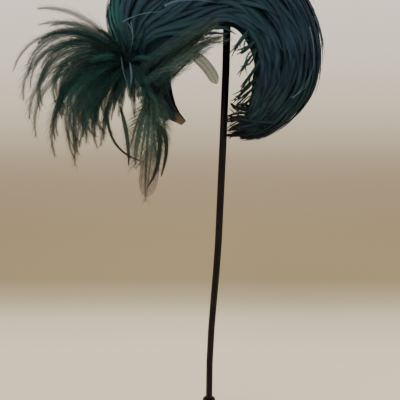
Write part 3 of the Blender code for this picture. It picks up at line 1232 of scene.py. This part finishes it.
@dataclass
class CrownPlumage:
    """The swept feathers over the crown, with a dark backing under them whose darkness is painted shade.
    """

    form: HatForm
    effects: PlumeEffects
    pile_and_shade: bpy.types.Material
    seed: int = 11
    kind: Feather = Feather(blade=0.0021, barb=0.0090, barbs=24)
    node: str = "crown_feathers"
    slot: str = "crown_feather"
    tracts: Tuple[Tract, ...] = (
        Tract("rear", 205, 60, 9, 0.38, 0.97, 8, 0.070, 0.0026, 1),
        Tract("lobe", 160, 188, 5, -0.97, 0.36, 18, 0.027, 0.0026, -1),
        Tract("crown", 168, 60, 7, -0.97, 0.38, 15, 0.086, 0.0028, 1),
        Tract("sweep", 58, -50, 7, -0.97, 0.95, 20, 0.070, 0.0028, 1),
    )
    finish: PlumeFinish = PlumeFinish(
        name="crown_plume",
        colour=(0.0230, 0.1480, 0.1380),
        tip=(0.0100, 0.0220, 0.0370),
        shaft=(0.0200, 0.0560, 0.0800),
        blends=(
            Blend(Axis.X, -0.096, -0.078, (0.0175, 0.0300, 0.0600)),
            Blend(Axis.Z, 0.440, 0.390, (0.0125, 0.0190, 0.0325)),
        ),
        patches=(0.0125, 0.0325, 0.0420),
        contrast=1.22,
        patch=14.0,
    )
    backing_steps: Tuple[int, int] = (84, 28)
    backing_span: Tuple[float, float] = (211.0, -68.0)
    backing_across: float = 0.99
    backing_drop: float = 0.0018
    backing_wall: float = 0.0016
    backing_tone: float = 0.3
    spine_points: int = 12
    drift_power: float = 1.4
    lift_power: float = 0.9
    rim_limit: float = 1.04
    root_drop: float = 0.0012
    lift_stray: Tuple[float, float] = (-0.0010, 0.0022)
    place_stray: float = 0.24
    angle_stray: float = 2.6
    tip_stray: float = 0.05
    roll: float = 0.09
    lengths: Tuple[float, float] = (0.72, 1.18)
    last_turn: Tuple[float, float] = (52.0, 74.0)
    flank_reach: float = 0.55
    narrow_from: float = -10.0
    narrow_over: float = 60.0
    narrow_share: float = 0.35

    def spine(
        self, angle: float, own: float, turn: float, lift: Tuple[float, float], drift: float
    ) -> Spine:
        """A line on the cover that runs round the swirl.

        Args:
            angle: where its root is.
            own: its own place across.
            turn: the angle that it covers.
            lift: its heights at root and tip.
            drift: how far across its tip strays.

        Returns:
            The spine.
        """
        share = np.linspace(0, 1, self.spine_points)
        angles = angle - turn * share
        places = self.form.drawn_in(angles, np.full(self.spine_points, own))
        places = np.clip(places + drift * share**self.drift_power, -self.rim_limit, self.rim_limit)
        lifts = lift[0] + (lift[1] - lift[0]) * share**self.lift_power
        return Spine(self.form.cover_point(angles, places, lifts), self.form.outward(angles, places))

    def build_backing(self) -> None:
        """Builds the dark pile under the feathers, a thin wall along the cover's inner face; its darkness
        is painted shade.
        """
        steps, rows = self.backing_steps
        bpy.ops.object.select_all(action="DESELECT")
        bpy.ops.mesh.primitive_grid_add(x_subdivisions=steps, y_subdivisions=rows, size=2.0)
        made = bpy.context.active_object
        made.name = made.data.name = "crown_backing"
        mesh = made.data
        flat = np.zeros(len(mesh.vertices) * 3, np.float32)
        mesh.vertices.foreach_get("co", flat)
        flat = flat.reshape(-1, 3)
        first, last = self.backing_span
        angles = first + (last - first) * (flat[:, 0] + 1) / 2
        lift = np.full(len(flat), -self.backing_drop)
        places = self.form.cover_point(angles, flat[:, 1] * self.backing_across, lift)
        mesh.vertices.foreach_set("co", places.astype(np.float32).ravel())
        tone = mesh.attributes.new("tone", "FLOAT", "POINT")
        tone.data.foreach_set("value", np.full(len(flat), self.backing_tone, np.float32))
        mesh.uv_layers[0].name = "feather"
        wall = made.modifiers.new("wall", "SOLIDIFY")
        wall.thickness, wall.offset = self.backing_wall, -1.0
        bpy.ops.object.modifier_apply(modifier="wall")
        mesh.shade_smooth()
        dress(made, self.pile_and_shade, self.slot, self.node)

    def build_tract(self, tract: Tract, chance: np.random.Generator) -> JoinedMesh:
        """Lays the feathers of a tract, row after row.

        Args:
            tract: the field of feathers.
            chance: the source of their small irregularities.

        Returns:
            The mesh that gathers them.
        """
        mesh = JoinedMesh()
        rows = max(1, int(abs(tract.first - tract.last) / tract.step))
        for row in range(rows + 1):
            centre = tract.first + (tract.last - tract.first) * row / rows
            below = max(0.0, (self.narrow_from - centre) / self.narrow_over)
            gather = 1.0 - self.narrow_share * below
            for index in range(tract.across):
                place = (index + 0.5 + chance.normal(0, self.place_stray)) / tract.across
                own = (tract.front + (tract.back - tract.front) * place) * gather
                angle = centre + chance.normal(0, self.angle_stray)
                length = tract.length * chance.uniform(*self.lengths)
                round_off = (1 - self.flank_reach) * math.cos(own * math.pi / 2)
                reach = self.form.radius(angle) * (self.flank_reach + round_off)
                limit = angle + chance.uniform(*self.last_turn)
                turn = min(math.degrees(length / reach), limit) * tract.way
                lift = (-self.root_drop, tract.lift + chance.uniform(*self.lift_stray))
                spine = self.spine(angle, own, turn, lift, chance.normal(0, self.tip_stray))
                self.kind.add(mesh, spine.rolled(chance.normal(0, self.roll)), chance.uniform(), chance)
        return mesh

    def build(self) -> None:
        """Builds the backing and the tracts, each in a piece of its own."""
        finish = self.finish.build(self.effects)
        self.build_backing()
        chance = np.random.default_rng(self.seed)
        for tract in self.tracts:
            mesh = self.build_tract(tract, chance)
            dress(mesh.build(f"{tract.name}_plumes"), finish, self.slot, self.node)
            LOG.info("%s: %d triangles", tract.name, mesh.triangle_count())


class Lock(NamedTuple):
    """A bundle that leaves a knot: its way, its curl and its shares of length and of barb."""

    pitch: float
    curl: float
    yaw: float
    length: float
    barb: float


SPRAY = (
    Lock(122, 66, 8, 0.76, 0.80),
    Lock(130, 90, -16, 0.88, 0.85),
    Lock(136, 116, 2, 1.05, 0.85),
    Lock(140, 124, -12, 1.08, 0.90),
    Lock(147, 134, 20, 1.02, 1.00),
    Lock(151, 134, -4, 1.04, 1.00),
    Lock(159, 124, -36, 1.00, 1.00),
    Lock(167, 116, 38, 1.00, 1.00),
    Lock(173, 108, 6, 1.06, 1.00),
    Lock(179, 112, -54, 0.84, 1.00),
    Lock(185, 124, -14, 1.10, 1.00),
    Lock(193, 100, 24, 1.02, 1.00),
    Lock(198, 96, -2, 0.98, 1.00),
    Lock(202, 88, 54, 0.82, 1.00),
    Lock(207, 82, 14, 0.84, 1.00),
    Lock(211, 74, -28, 0.88, 1.00),
    Lock(219, 54, 6, 0.92, 1.00),
    Lock(229, 34, 30, 0.76, 0.90),
    Lock(240, 20, -8, 0.68, 0.80),
    Lock(252, 8, 20, 0.44, 0.60),
    Lock(266, 2, 30, 0.40, 0.55),
    Lock(281, -6, 16, 0.40, 0.55),
    Lock(296, -8, 28, 0.42, 0.50),
    Lock(311, -8, 20, 0.44, 0.50),
    Lock(118, 36, -6, 0.32, 0.40),
    Lock(102, 16, 2, 0.28, 0.36),
    Lock(84, 2, -8, 0.26, 0.36),
    Lock(64, -10, 4, 0.26, 0.36),
    Lock(142, 50, -34, 0.36, 0.45),
    Lock(110, 14, -48, 0.32, 0.45),
    Lock(120, 90, 44, 0.30, 0.45),
    Lock(155, 80, 50, 0.34, 0.50),
    Lock(190, 60, 48, 0.36, 0.50),
    Lock(235, 20, 44, 0.34, 0.45),
    Lock(285, -12, 40, 0.32, 0.42),
    Lock(330, -40, 36, 0.28, 0.40),
    Lock(20, -60, 30, 0.26, 0.40),
)
TUFT = (
    Lock(246, 20, 2, 0.84, 0.95),
    Lock(253, 12, 20, 0.92, 1.20),
    Lock(263, 6, 6, 1.30, 1.00),
    Lock(272, -4, 26, 0.80, 1.25),
    Lock(283, -14, 12, 0.76, 1.20),
    Lock(295, -20, 20, 0.60, 1.00),
)


@dataclass
class Bunch:
    """Loose feathers that leave a knot and curl down under their own weight."""

    form: HatForm
    effects: PlumeEffects
    pile_and_shade: bpy.types.Material
    name: str
    node: str
    angle: float
    across: float
    knot: float
    length: float
    locks: Tuple[Lock, ...]
    kind: Feather
    finish: PlumeFinish
    strands: int = 3
    fan: Tuple[float, float, float] = (5.0, 9.0, 6.0)
    sunk: float = 0.6
    ball: float = 0.85
    ball_sides: Tuple[int, int] = (20, 12)
    seat: float = 0.35
    spine_points: int = 25
    curl_power: float = 1.3
    yaw_loss: float = 0.35
    roll: Tuple[float, float] = (20.0, 24.0)
    lengths: Tuple[float, float] = (0.68, 0.98)
    shaft_share: float = 1.6
    shaft_tone: float = 0.1
    seed: int = 5
    slot: str = "hackle"

    def place(self, off: float) -> Array:
        """A place over the knot's own place on the cover.

        Args:
            off: its height over the cover, in metres.

        Returns:
            The place.
        """
        angle, across = np.array([self.angle]), np.array([self.across])
        point = self.form.cover_point(angle, across, np.zeros(1))[0]
        return point + self.form.outward(angle, across)[0] * off

    def spine(self, lock: Lock, length: float, turn: float) -> Spine:
        """The line of a feather of a lock.

        Args:
            lock: the way it leaves the knot and curls.
            length: its length.
            turn: how far its face is turned about it.

        Returns:
            The spine.
        """
        share = np.linspace(0, 1, self.spine_points)
        pitch = np.radians(lock.pitch + lock.curl * share**self.curl_power)
        yaw = math.radians(lock.yaw) * (1 - self.yaw_loss * share)
        ways = [np.cos(pitch) * np.cos(yaw), -np.sin(yaw), np.sin(pitch) * np.cos(yaw)]
        heading = np.stack(ways, axis=1)
        root = self.place(self.knot) + heading[0] * self.knot * self.seat
        steps = (heading[1:] + heading[:-1]) / 2 * length / (self.spine_points - 1)
        line = np.concatenate([root[None], root + np.cumsum(steps, axis=0)])
        upright = unit(np.cross(heading, -FORWARD))
        return Spine(line, FORWARD * math.cos(turn) + upright * math.sin(turn))

    def build_knot(self) -> None:
        """Builds the bound knot that the feathers leave, under their roots."""
        sides, rings = self.ball_sides
        size = self.knot * self.ball
        bpy.ops.object.select_all(action="DESELECT")
        bpy.ops.mesh.primitive_uv_sphere_add(segments=sides, ring_count=rings, radius=size)
        made = bpy.context.active_object
        made.name = made.data.name = f"{self.name}_knot"
        made.location = self.place(self.knot * (1 - self.sunk)).tolist()
        bpy.ops.object.transform_apply(location=True, rotation=True, scale=True)
        made.data.uv_layers[0].name = "feather"
        made.data.shade_smooth()
        # The knot wears the pile's finish, painted shade where the roots crowd together
        dress(made, self.pile_and_shade, self.slot, self.node)

    def strayed(self, lock: Lock, chance: np.random.Generator) -> Lock:
        """A lock turned a little from another.

        Args:
            lock: the lock that it strays from.
            chance: the source of its small irregularities.

        Returns:
            The lock.
        """
        pitch, yaw, curl = (chance.normal(0, spread) for spread in self.fan)
        return lock._replace(pitch=lock.pitch + pitch, yaw=lock.yaw + yaw, curl=lock.curl + curl)

    def build(self) -> None:
        """Builds the knot, and every feather of the bunch in one piece."""
        chance = np.random.default_rng(self.seed)
        finish = self.finish.build(self.effects)
        self.build_knot()
        mesh = JoinedMesh()
        middle, spread = self.roll
        for lock in self.locks:
            barbs = round(self.kind.barbs * min(1.0, lock.barb))
            kind = replace(self.kind, barb=self.kind.barb * lock.barb, barbs=barbs)
            for strand in range(self.strands):
                # The first strand keeps the lock's own way, after the same draws as the others
                near, share = self.strayed(lock, chance), 1.0
                if strand == 0:
                    near = lock
                else:
                    share = chance.uniform(*self.lengths)
                turn = math.radians(middle + chance.normal(0, spread))
                spine = self.spine(near, self.length * lock.length * share, turn)
                kind.add(mesh, spine, chance.uniform(), chance)
                add_shaft(mesh, spine, kind.shaft * self.shaft_share, self.shaft_tone)
        dress(mesh.build(self.name), finish, self.slot, self.node)
        LOG.info("%s: %d triangles", self.name, mesh.triangle_count())


@dataclass
class SideSpray(Bunch):
    """The loose spray of hackle feathers at the left, with its bound knot."""

    name: str = "spray_plumes"
    node: str = "side_spray"
    angle: float = HatForm.knot_angle
    across: float = HatForm.knot_across
    knot: float = 0.012
    length: float = 0.116
    locks: Tuple[Lock, ...] = SPRAY
    fan: Tuple[float, float, float] = (4.0, 9.0, 6.0)
    kind: Feather = Feather(
        blade=0.0022, barb=0.0165, barbs=72, lie=Barbs.LOOSE, barb_width=0.00034, steps=14, ragged=0.3
    )
    finish: PlumeFinish = PlumeFinish(
        name="spray_plume",
        colour=(0.0165, 0.0600, 0.0530),
        tip=(0.0130, 0.0125, 0.0105),
        shaft=(0.0080, 0.0120, 0.0110),
        contrast=2.2,
        tip_start=0.72,
        solid=0.40,
        root_share=0.3,
        root_reach=0.42,
    )


@dataclass
class HangingTuft(Bunch):
    """The fluffy tuft that hangs under the spray, with its bound knot."""

    name: str = "tuft_plumes"
    node: str = "hanging_tuft"
    angle: float = 185.0
    across: float = -0.80
    knot: float = 0.0085
    length: float = 0.080
    locks: Tuple[Lock, ...] = TUFT
    strands: int = 2
    ball: float = 0.50
    seed: int = 8
    kind: Feather = Feather(
        blade=0.0012, barb=0.0200, barbs=60, lie=Barbs.DOWNY, barb_width=0.00030, steps=12
    )
    finish: PlumeFinish = PlumeFinish(
        name="tuft_plume",
        colour=(0.0560, 0.0980, 0.0760),
        tip=(0.0740, 0.0900, 0.0700),
        shaft=(0.0150, 0.0110, 0.0080),
        contrast=1.9,
        solid=0.60,
    )


class Trail(NamedTuple):
    """A loose feather's root, middle and tip: angles, shares of the rise, and how far off."""

    angle: float
    reach: float
    half_angle: float
    half_reach: float
    tip_angle: float
    tip_reach: float
    off: float
    half_off: float
    tip_off: float


@dataclass(frozen=True)
class LooseFeathers:
    """Feathers that stand off the cover, each along a trail of its own."""

    name: str
    trails: Tuple[Trail, ...]
    kind: Feather
    finish: PlumeFinish
    strands: int = 3
    stray: float = 0.0025
    parting: float = 1.5
    roll: float = 0.25
    shaft: float = 0.0
    shaft_tone: float = 0.5
    facing: Tuple[float, float, float] = (0.1, -1.0, 0.15)
    slot: str = "crown_feather"
    seed: int = 3

    def spine(self, form: HatForm, trail: Trail, chance: np.random.Generator, stray: float) -> Spine:
        """The line of a trail, or of a feather that strays from it.

        Args:
            form: the hat's surfaces.
            trail: the places that it runs through.
            chance: the source of its small irregularities.
            stray: how far its root and middle may stray, in metres.

        Returns:
            The spine.
        """
        start = form.before_point(trail.angle, trail.reach, trail.off)
        middle = form.before_point(trail.half_angle, trail.half_reach, trail.half_off)
        end = form.before_point(trail.tip_angle, trail.tip_reach, trail.tip_off)
        middle = middle + chance.normal(0, stray, 3)
        end = end + chance.normal(0, stray * self.parting, 3)
        return bowed(start + chance.normal(0, stray, 3), middle, end, np.array(self.facing))

    def build(self, form: HatForm, effects: PlumeEffects) -> None:
        """Builds every loose feather in one piece.

        Args:
            form: the hat's surfaces.
            effects: the shared node groups.
        """
        chance = np.random.default_rng(self.seed)
        mesh = JoinedMesh()
        for trail in self.trails:
            for strand in range(self.strands):
                spine = self.spine(form, trail, chance, self.stray if strand else 0.0)
                spine = spine.rolled(chance.normal(0, self.roll))
                # A feather without a vane is a bare quill
                if self.kind.blade > 0:
                    self.kind.add(mesh, spine, chance.uniform(), chance)
                if self.shaft > 0:
                    add_shaft(mesh, spine, self.shaft, self.shaft_tone)
        dress(mesh.build(self.name), self.finish.build(effects), self.slot)
        LOG.info("%s: %d triangles", self.name, mesh.triangle_count())


SWEEP_TIPS = (
    Trail(325, 0.42, 298, 0.255, 276, 0.205, 0.003, 0.004, 0.024),
    Trail(320, 0.45, 292, 0.315, 268, 0.307, 0.003, 0.004, 0.022),
    Trail(317, 0.49, 291, 0.380, 270, 0.394, 0.003, 0.004, 0.016),
    Trail(318, 0.54, 292, 0.440, 271, 0.460, 0.003, 0.003, 0.012),
    Trail(327, 0.58, 303, 0.500, 285, 0.470, 0.003, 0.003, 0.006),
)
INNER_TIPS = (
    Trail(71, 0.325, 76, 0.245, 84, 0.178, 0.002, 0.002, 0.003),
    Trail(58, 0.281, 62, 0.213, 70, 0.166, 0.002, 0.002, 0.003),
    Trail(49, 0.261, 44, 0.160, 25, 0.081, 0.002, 0.002, 0.004),
    Trail(27, 0.213, 5, 0.133, 323, 0.124, 0.002, 0.002, 0.005),
    Trail(3, 0.193, 327, 0.142, 287, 0.157, 0.002, 0.002, 0.006),
    Trail(346, 0.200, 315, 0.181, 289, 0.197, 0.002, 0.002, 0.006),
    Trail(331, 0.216, 310, 0.225, 293, 0.243, 0.002, 0.002, 0.006),
)
RIM_WISPS = (
    Trail(179, 0.53, 150, 0.356, 105, 0.286, 0.003, 0.001, 0.000),
    Trail(174, 0.57, 147, 0.412, 111, 0.355, 0.003, 0.002, 0.001),
    Trail(181, 0.50, 163, 0.364, 139, 0.254, 0.003, 0.000, 0.000),
    Trail(174, 0.46, 143, 0.343, 110, 0.249, 0.003, 0.000, 0.000),
)
# Translucent feathers from the knot, their pale grey-green partly their own colour and partly painted
# sheen
SAGE_SHEEN = (
    Trail(187, 0.726, 172, 0.489, 133, 0.316, 0.064, 0.006, 0.003),
    Trail(191, 0.743, 183, 0.538, 168, 0.387, 0.064, 0.008, 0.003),
    Trail(181, 0.740, 163, 0.540, 119, 0.368, 0.052, 0.012, 0.005),
    Trail(195, 0.729, 192, 0.566, 180, 0.424, 0.064, 0.010, 0.003),
)
CURVES = (
    Trail(191, 0.918, 208, 0.983, 223, 0.907, 0.078, 0.084, 0.080),
    Trail(194, 0.848, 209, 0.879, 220, 1.004, 0.078, 0.084, 0.080),
    Trail(211, 0.616, 228, 0.815, 232, 1.030, 0.070, 0.080, 0.078),
    Trail(208, 0.678, 223, 0.668, 234, 0.902, 0.074, 0.078, 0.078),
)
SHEER_STRIP = (Trail(153, 0.364, 156, 0.225, 203, 0.116, 0.000, 0.000, 0.018),)
BLUSH = (Trail(219, 0.780, 228, 0.940, 234, 1.130, 0.064, 0.066, 0.066),)
# Narrow feathers by the knot, whose bluish white is partly their own colour and partly painted highlight
KNOT_QUILL_GLINTS = (
    Trail(171, 0.806, 180, 0.767, 188, 0.732, 0.040, 0.088, 0.092),
    Trail(173, 0.743, 181, 0.719, 187, 0.730, 0.034, 0.061, 0.092),
)
# Real shafts whose pale bluish colour is painted highlight: the glints of light along the feathers'
# shafts
GLINTS = (
    Trail(154, 0.888, 147, 0.782, 139, 0.660, 0.011, 0.011, 0.010),
    Trail(153, 0.825, 158, 0.770, 165, 0.750, 0.012, 0.016, 0.024),
    Trail(136, 0.675, 124, 0.607, 105, 0.507, 0.009, 0.009, 0.009),
    Trail(36, 0.788, 24, 0.781, 12, 0.730, 0.008, 0.008, 0.008),
    Trail(32, 0.684, 19, 0.661, 7, 0.633, 0.008, 0.008, 0.008),
    Trail(343, 0.507, 355, 0.571, 7, 0.633, 0.008, 0.008, 0.008),
)


LOOSE_FEATHERS = (
    LooseFeathers(
        "sweep_tips",
        SWEEP_TIPS,
        Feather(blade=0.0006, barb=0.0060, barbs=30, barb_width=0.00030),
        PlumeFinish(
            "tip_plume", (0.0120, 0.0190, 0.0250), (0.0090, 0.0100, 0.0120), (0.012, 0.014, 0.016)
        ),
        strands=14,
        stray=0.0026,
        parting=0.8,
    ),
    LooseFeathers(
        "inner_tips",
        INNER_TIPS,
        Feather(blade=0.0004, barb=0.0040, barbs=26, barb_width=0.00026),
        PlumeFinish(
            "inner_plume", (0.0110, 0.0320, 0.0330), (0.0090, 0.0120, 0.0130), (0.010, 0.016, 0.018)
        ),
        strands=6,
        stray=0.0014,
        parting=2.0,
    ),
    LooseFeathers(
        "rim_wisps",
        RIM_WISPS,
        Feather(blade=0.0005, barb=0.0170, barbs=44, lie=Barbs.LOOSE, barb_width=0.00028),
        PlumeFinish(
            "wispy_plume", (0.038, 0.068, 0.058), (0.062, 0.085, 0.072), (0.03, 0.04, 0.03), solid=0.6
        ),
        stray=0.0030,
    ),
    LooseFeathers(
        "sage_sheen_feathers",
        SAGE_SHEEN,
        Feather(blade=0.0036, barb=0.0100, barbs=44, lie=Barbs.LOOSE, columns=5, steps=10),
        PlumeFinish(
            "sage_sheen_plume",
            (0.028, 0.062, 0.062),
            (0.050, 0.082, 0.074),
            (0.03, 0.05, 0.050),
            contrast=1.3,
            solid=0.25,
        ),
        strands=2,
        stray=0.0040,
    ),
    LooseFeathers(
        "curved_feathers",
        CURVES,
        Feather(blade=0.0015, barb=0.0060, barbs=44, lie=Barbs.LOOSE, steps=12, barb_width=0.00026),
        PlumeFinish(
            "olive_plume", (0.018, 0.032, 0.022), (0.014, 0.014, 0.011), (0.050, 0.060, 0.040)
        ),
        strands=1,
        shaft=0.0006,
    ),
    LooseFeathers(
        "sheer_strip",
        SHEER_STRIP,
        Feather(blade=0.0048, barb=0.0030, barbs=40, steps=12, taper=14.0, shaft=0.0007),
        PlumeFinish(
            "sheer_plume",
            (0.13, 0.17, 0.13),
            (0.17, 0.19, 0.15),
            (0.06, 0.06, 0.04),
            contrast=1.3,
            solid=0.62,
        ),
        strands=1,
        roll=0.05,
        shaft=0.0006,
    ),
    LooseFeathers(
        "blush_feather",
        BLUSH,
        Feather(blade=0.0090, barb=0.0040, barbs=40, steps=12, columns=5, taper=10.0, shaft=0.0007),
        PlumeFinish(
            "blush_plume",
            (0.28, 0.21, 0.18),
            (0.32, 0.24, 0.20),
            (0.05, 0.04, 0.035),
            contrast=1.3,
            solid=0.5,
        ),
        strands=1,
        roll=0.05,
        shaft=0.0007,
    ),
    # Pale bluish quills by the knot, partly painted highlight
    LooseFeathers(
        "knot_quill_glints",
        KNOT_QUILL_GLINTS,
        Feather(blade=0.0007, barb=0.0030, barbs=26),
        PlumeFinish(
            "quill_highlight_plume", (0.06, 0.10, 0.12), (0.03, 0.06, 0.07), (0.09, 0.14, 0.17), solid=0.5
        ),
        strands=1,
        shaft=0.0005,
    ),
    # Quills painted pale and bluish as highlights along the shafts
    LooseFeathers(
        "painted_glint_quills",
        GLINTS,
        Feather(blade=0.0),
        PlumeFinish(
            "painted_glint_quill", (0.06, 0.12, 0.16), (0.02, 0.05, 0.07), (0.09, 0.15, 0.19), roughness=0.3
        ),
        strands=2,
        stray=0.0008,
        shaft=0.0008,
    ),
)


# The studio


class Lamp(NamedTuple):
    """A light: its kind, place, size, power and colour. A sun's size is an angle in radians."""

    name: str
    kind: LampKind
    place: Tuple[float, float, float]
    size: float
    power: float
    colour: Colour


@dataclass
class Studio:
    """The pale sweep, the lights and the camera at the photograph's angle."""

    eye: Tuple[float, float, float] = (-0.01135, -0.444, 0.414)
    look_down: float = 11.5
    lens: float = 36.0
    sensor: float = 36.0
    floor_size: float = 14.0
    wall_height: float = 6.0
    corner: float = 4.5
    corner_steps: int = 48
    edge_reach: float = 0.01
    under: float = 0.0005
    target: Tuple[float, float, float] = (0.0, 0.0, 0.40)
    surround: Colour = (0.86, 0.83, 0.78)
    surround_strength: float = 0.6
    lamps: Tuple[Lamp, ...] = (
        Lamp("window", LampKind.SUN, (-1.1, -1.5, 1.6), 0.8, 2.2, (1.0, 0.98, 0.95)),
        Lamp("fill", LampKind.AREA, (1.5, -1.2, 0.9), 1.6, 6.0, (0.93, 0.96, 1.0)),
        Lamp("top", LampKind.AREA, (0.1, 0.5, 2.0), 1.6, 14.0, (0.92, 0.96, 1.0)),
    )

    def build_sweep(self) -> None:
        """Builds the floor, with its far edge drawn up into a wall and the corner rounded."""
        bpy.ops.object.select_all(action="DESELECT")
        bpy.ops.mesh.primitive_plane_add(size=self.floor_size, location=(0, 0, -self.under))
        floor = bpy.context.active_object
        floor.name = floor.data.name = "pale_sweep"
        bpy.ops.object.mode_set(mode="EDIT")
        bpy.ops.mesh.select_all(action="DESELECT")
        bpy.ops.object.mode_set(mode="OBJECT")
        for edge in floor.data.edges:
            ends = [floor.data.vertices[index].co.y for index in edge.vertices]
            edge.select = min(ends) > self.floor_size / 2 - self.edge_reach
        bpy.ops.object.mode_set(mode="EDIT")
        bpy.ops.mesh.select_mode(type="EDGE")
        rise = (0, 0, self.wall_height)
        bpy.ops.mesh.extrude_region_move(TRANSFORM_OT_translate={"value": rise})
        bpy.ops.object.mode_set(mode="OBJECT")
        bend = floor.modifiers.new("corner", "BEVEL")
        bend.width, bend.segments = self.corner, self.corner_steps
        bpy.ops.object.modifier_apply(modifier="corner")
        bpy.ops.object.transform_apply(location=True, rotation=True, scale=True)
        floor.data.shade_smooth()
        floor.data.materials.append(StageFinish().build())

    def build_lights(self) -> None:
        """Builds a broad window light from the front left, and softer ones from above and the right."""
        for lamp in self.lamps:
            data = bpy.data.lights.new(lamp.name, lamp.kind.value)
            data.energy, data.color = lamp.power, lamp.colour
            if lamp.kind is LampKind.SUN:
                data.angle = lamp.size
            else:
                data.size = lamp.size
            made = bpy.data.objects.new(lamp.name, data)
            made.location = lamp.place
            way = Vector(self.target) - Vector(lamp.place)
            made.rotation_euler = way.to_track_quat("-Z", "Y").to_euler()
            bpy.context.scene.collection.objects.link(made)

    def build_world(self) -> None:
        """Builds a plain pale surround."""
        world = bpy.data.worlds.new("surround")
        world.use_nodes = True
        bpy.context.scene.world = world
        back = world.node_tree.nodes["Background"]
        back.inputs["Color"].default_value = (*self.surround, 1.0)
        back.inputs["Strength"].default_value = self.surround_strength

    def build_camera(self) -> None:
        """Sets the camera in the photograph's place."""
        data = bpy.data.cameras.new("photo_camera")
        data.lens, data.sensor_width = self.lens, self.sensor
        camera = bpy.data.objects.new("photo_camera", data)
        camera.location = self.eye
        camera.rotation_euler = (math.radians(90 - self.look_down), 0.0, 0.0)
        bpy.context.scene.collection.objects.link(camera)
        bpy.context.scene.camera = camera

    def build(self) -> None:
        """Builds the whole studio."""
        self.build_camera()
        self.build_sweep()
        self.build_lights()
        self.build_world()


def main() -> None:
    """Builds the studio, the stand and the hat in order."""
    logging.basicConfig(level=logging.INFO, format="%(name)s %(message)s")
    form, effects = HatForm(), PlumeEffects()
    Studio().build()
    RodStand().build()
    FeltHalfHat().build()
    pile_and_shade = PILE_AND_SHADE.build(effects)
    for sub_assembly in (CrownPlumage, SideSpray, HangingTuft):
        sub_assembly(form, effects, pile_and_shade).build()
    for loose in LOOSE_FEATHERS:
        loose.build(form, effects)


if __name__ == "__main__":
    main()
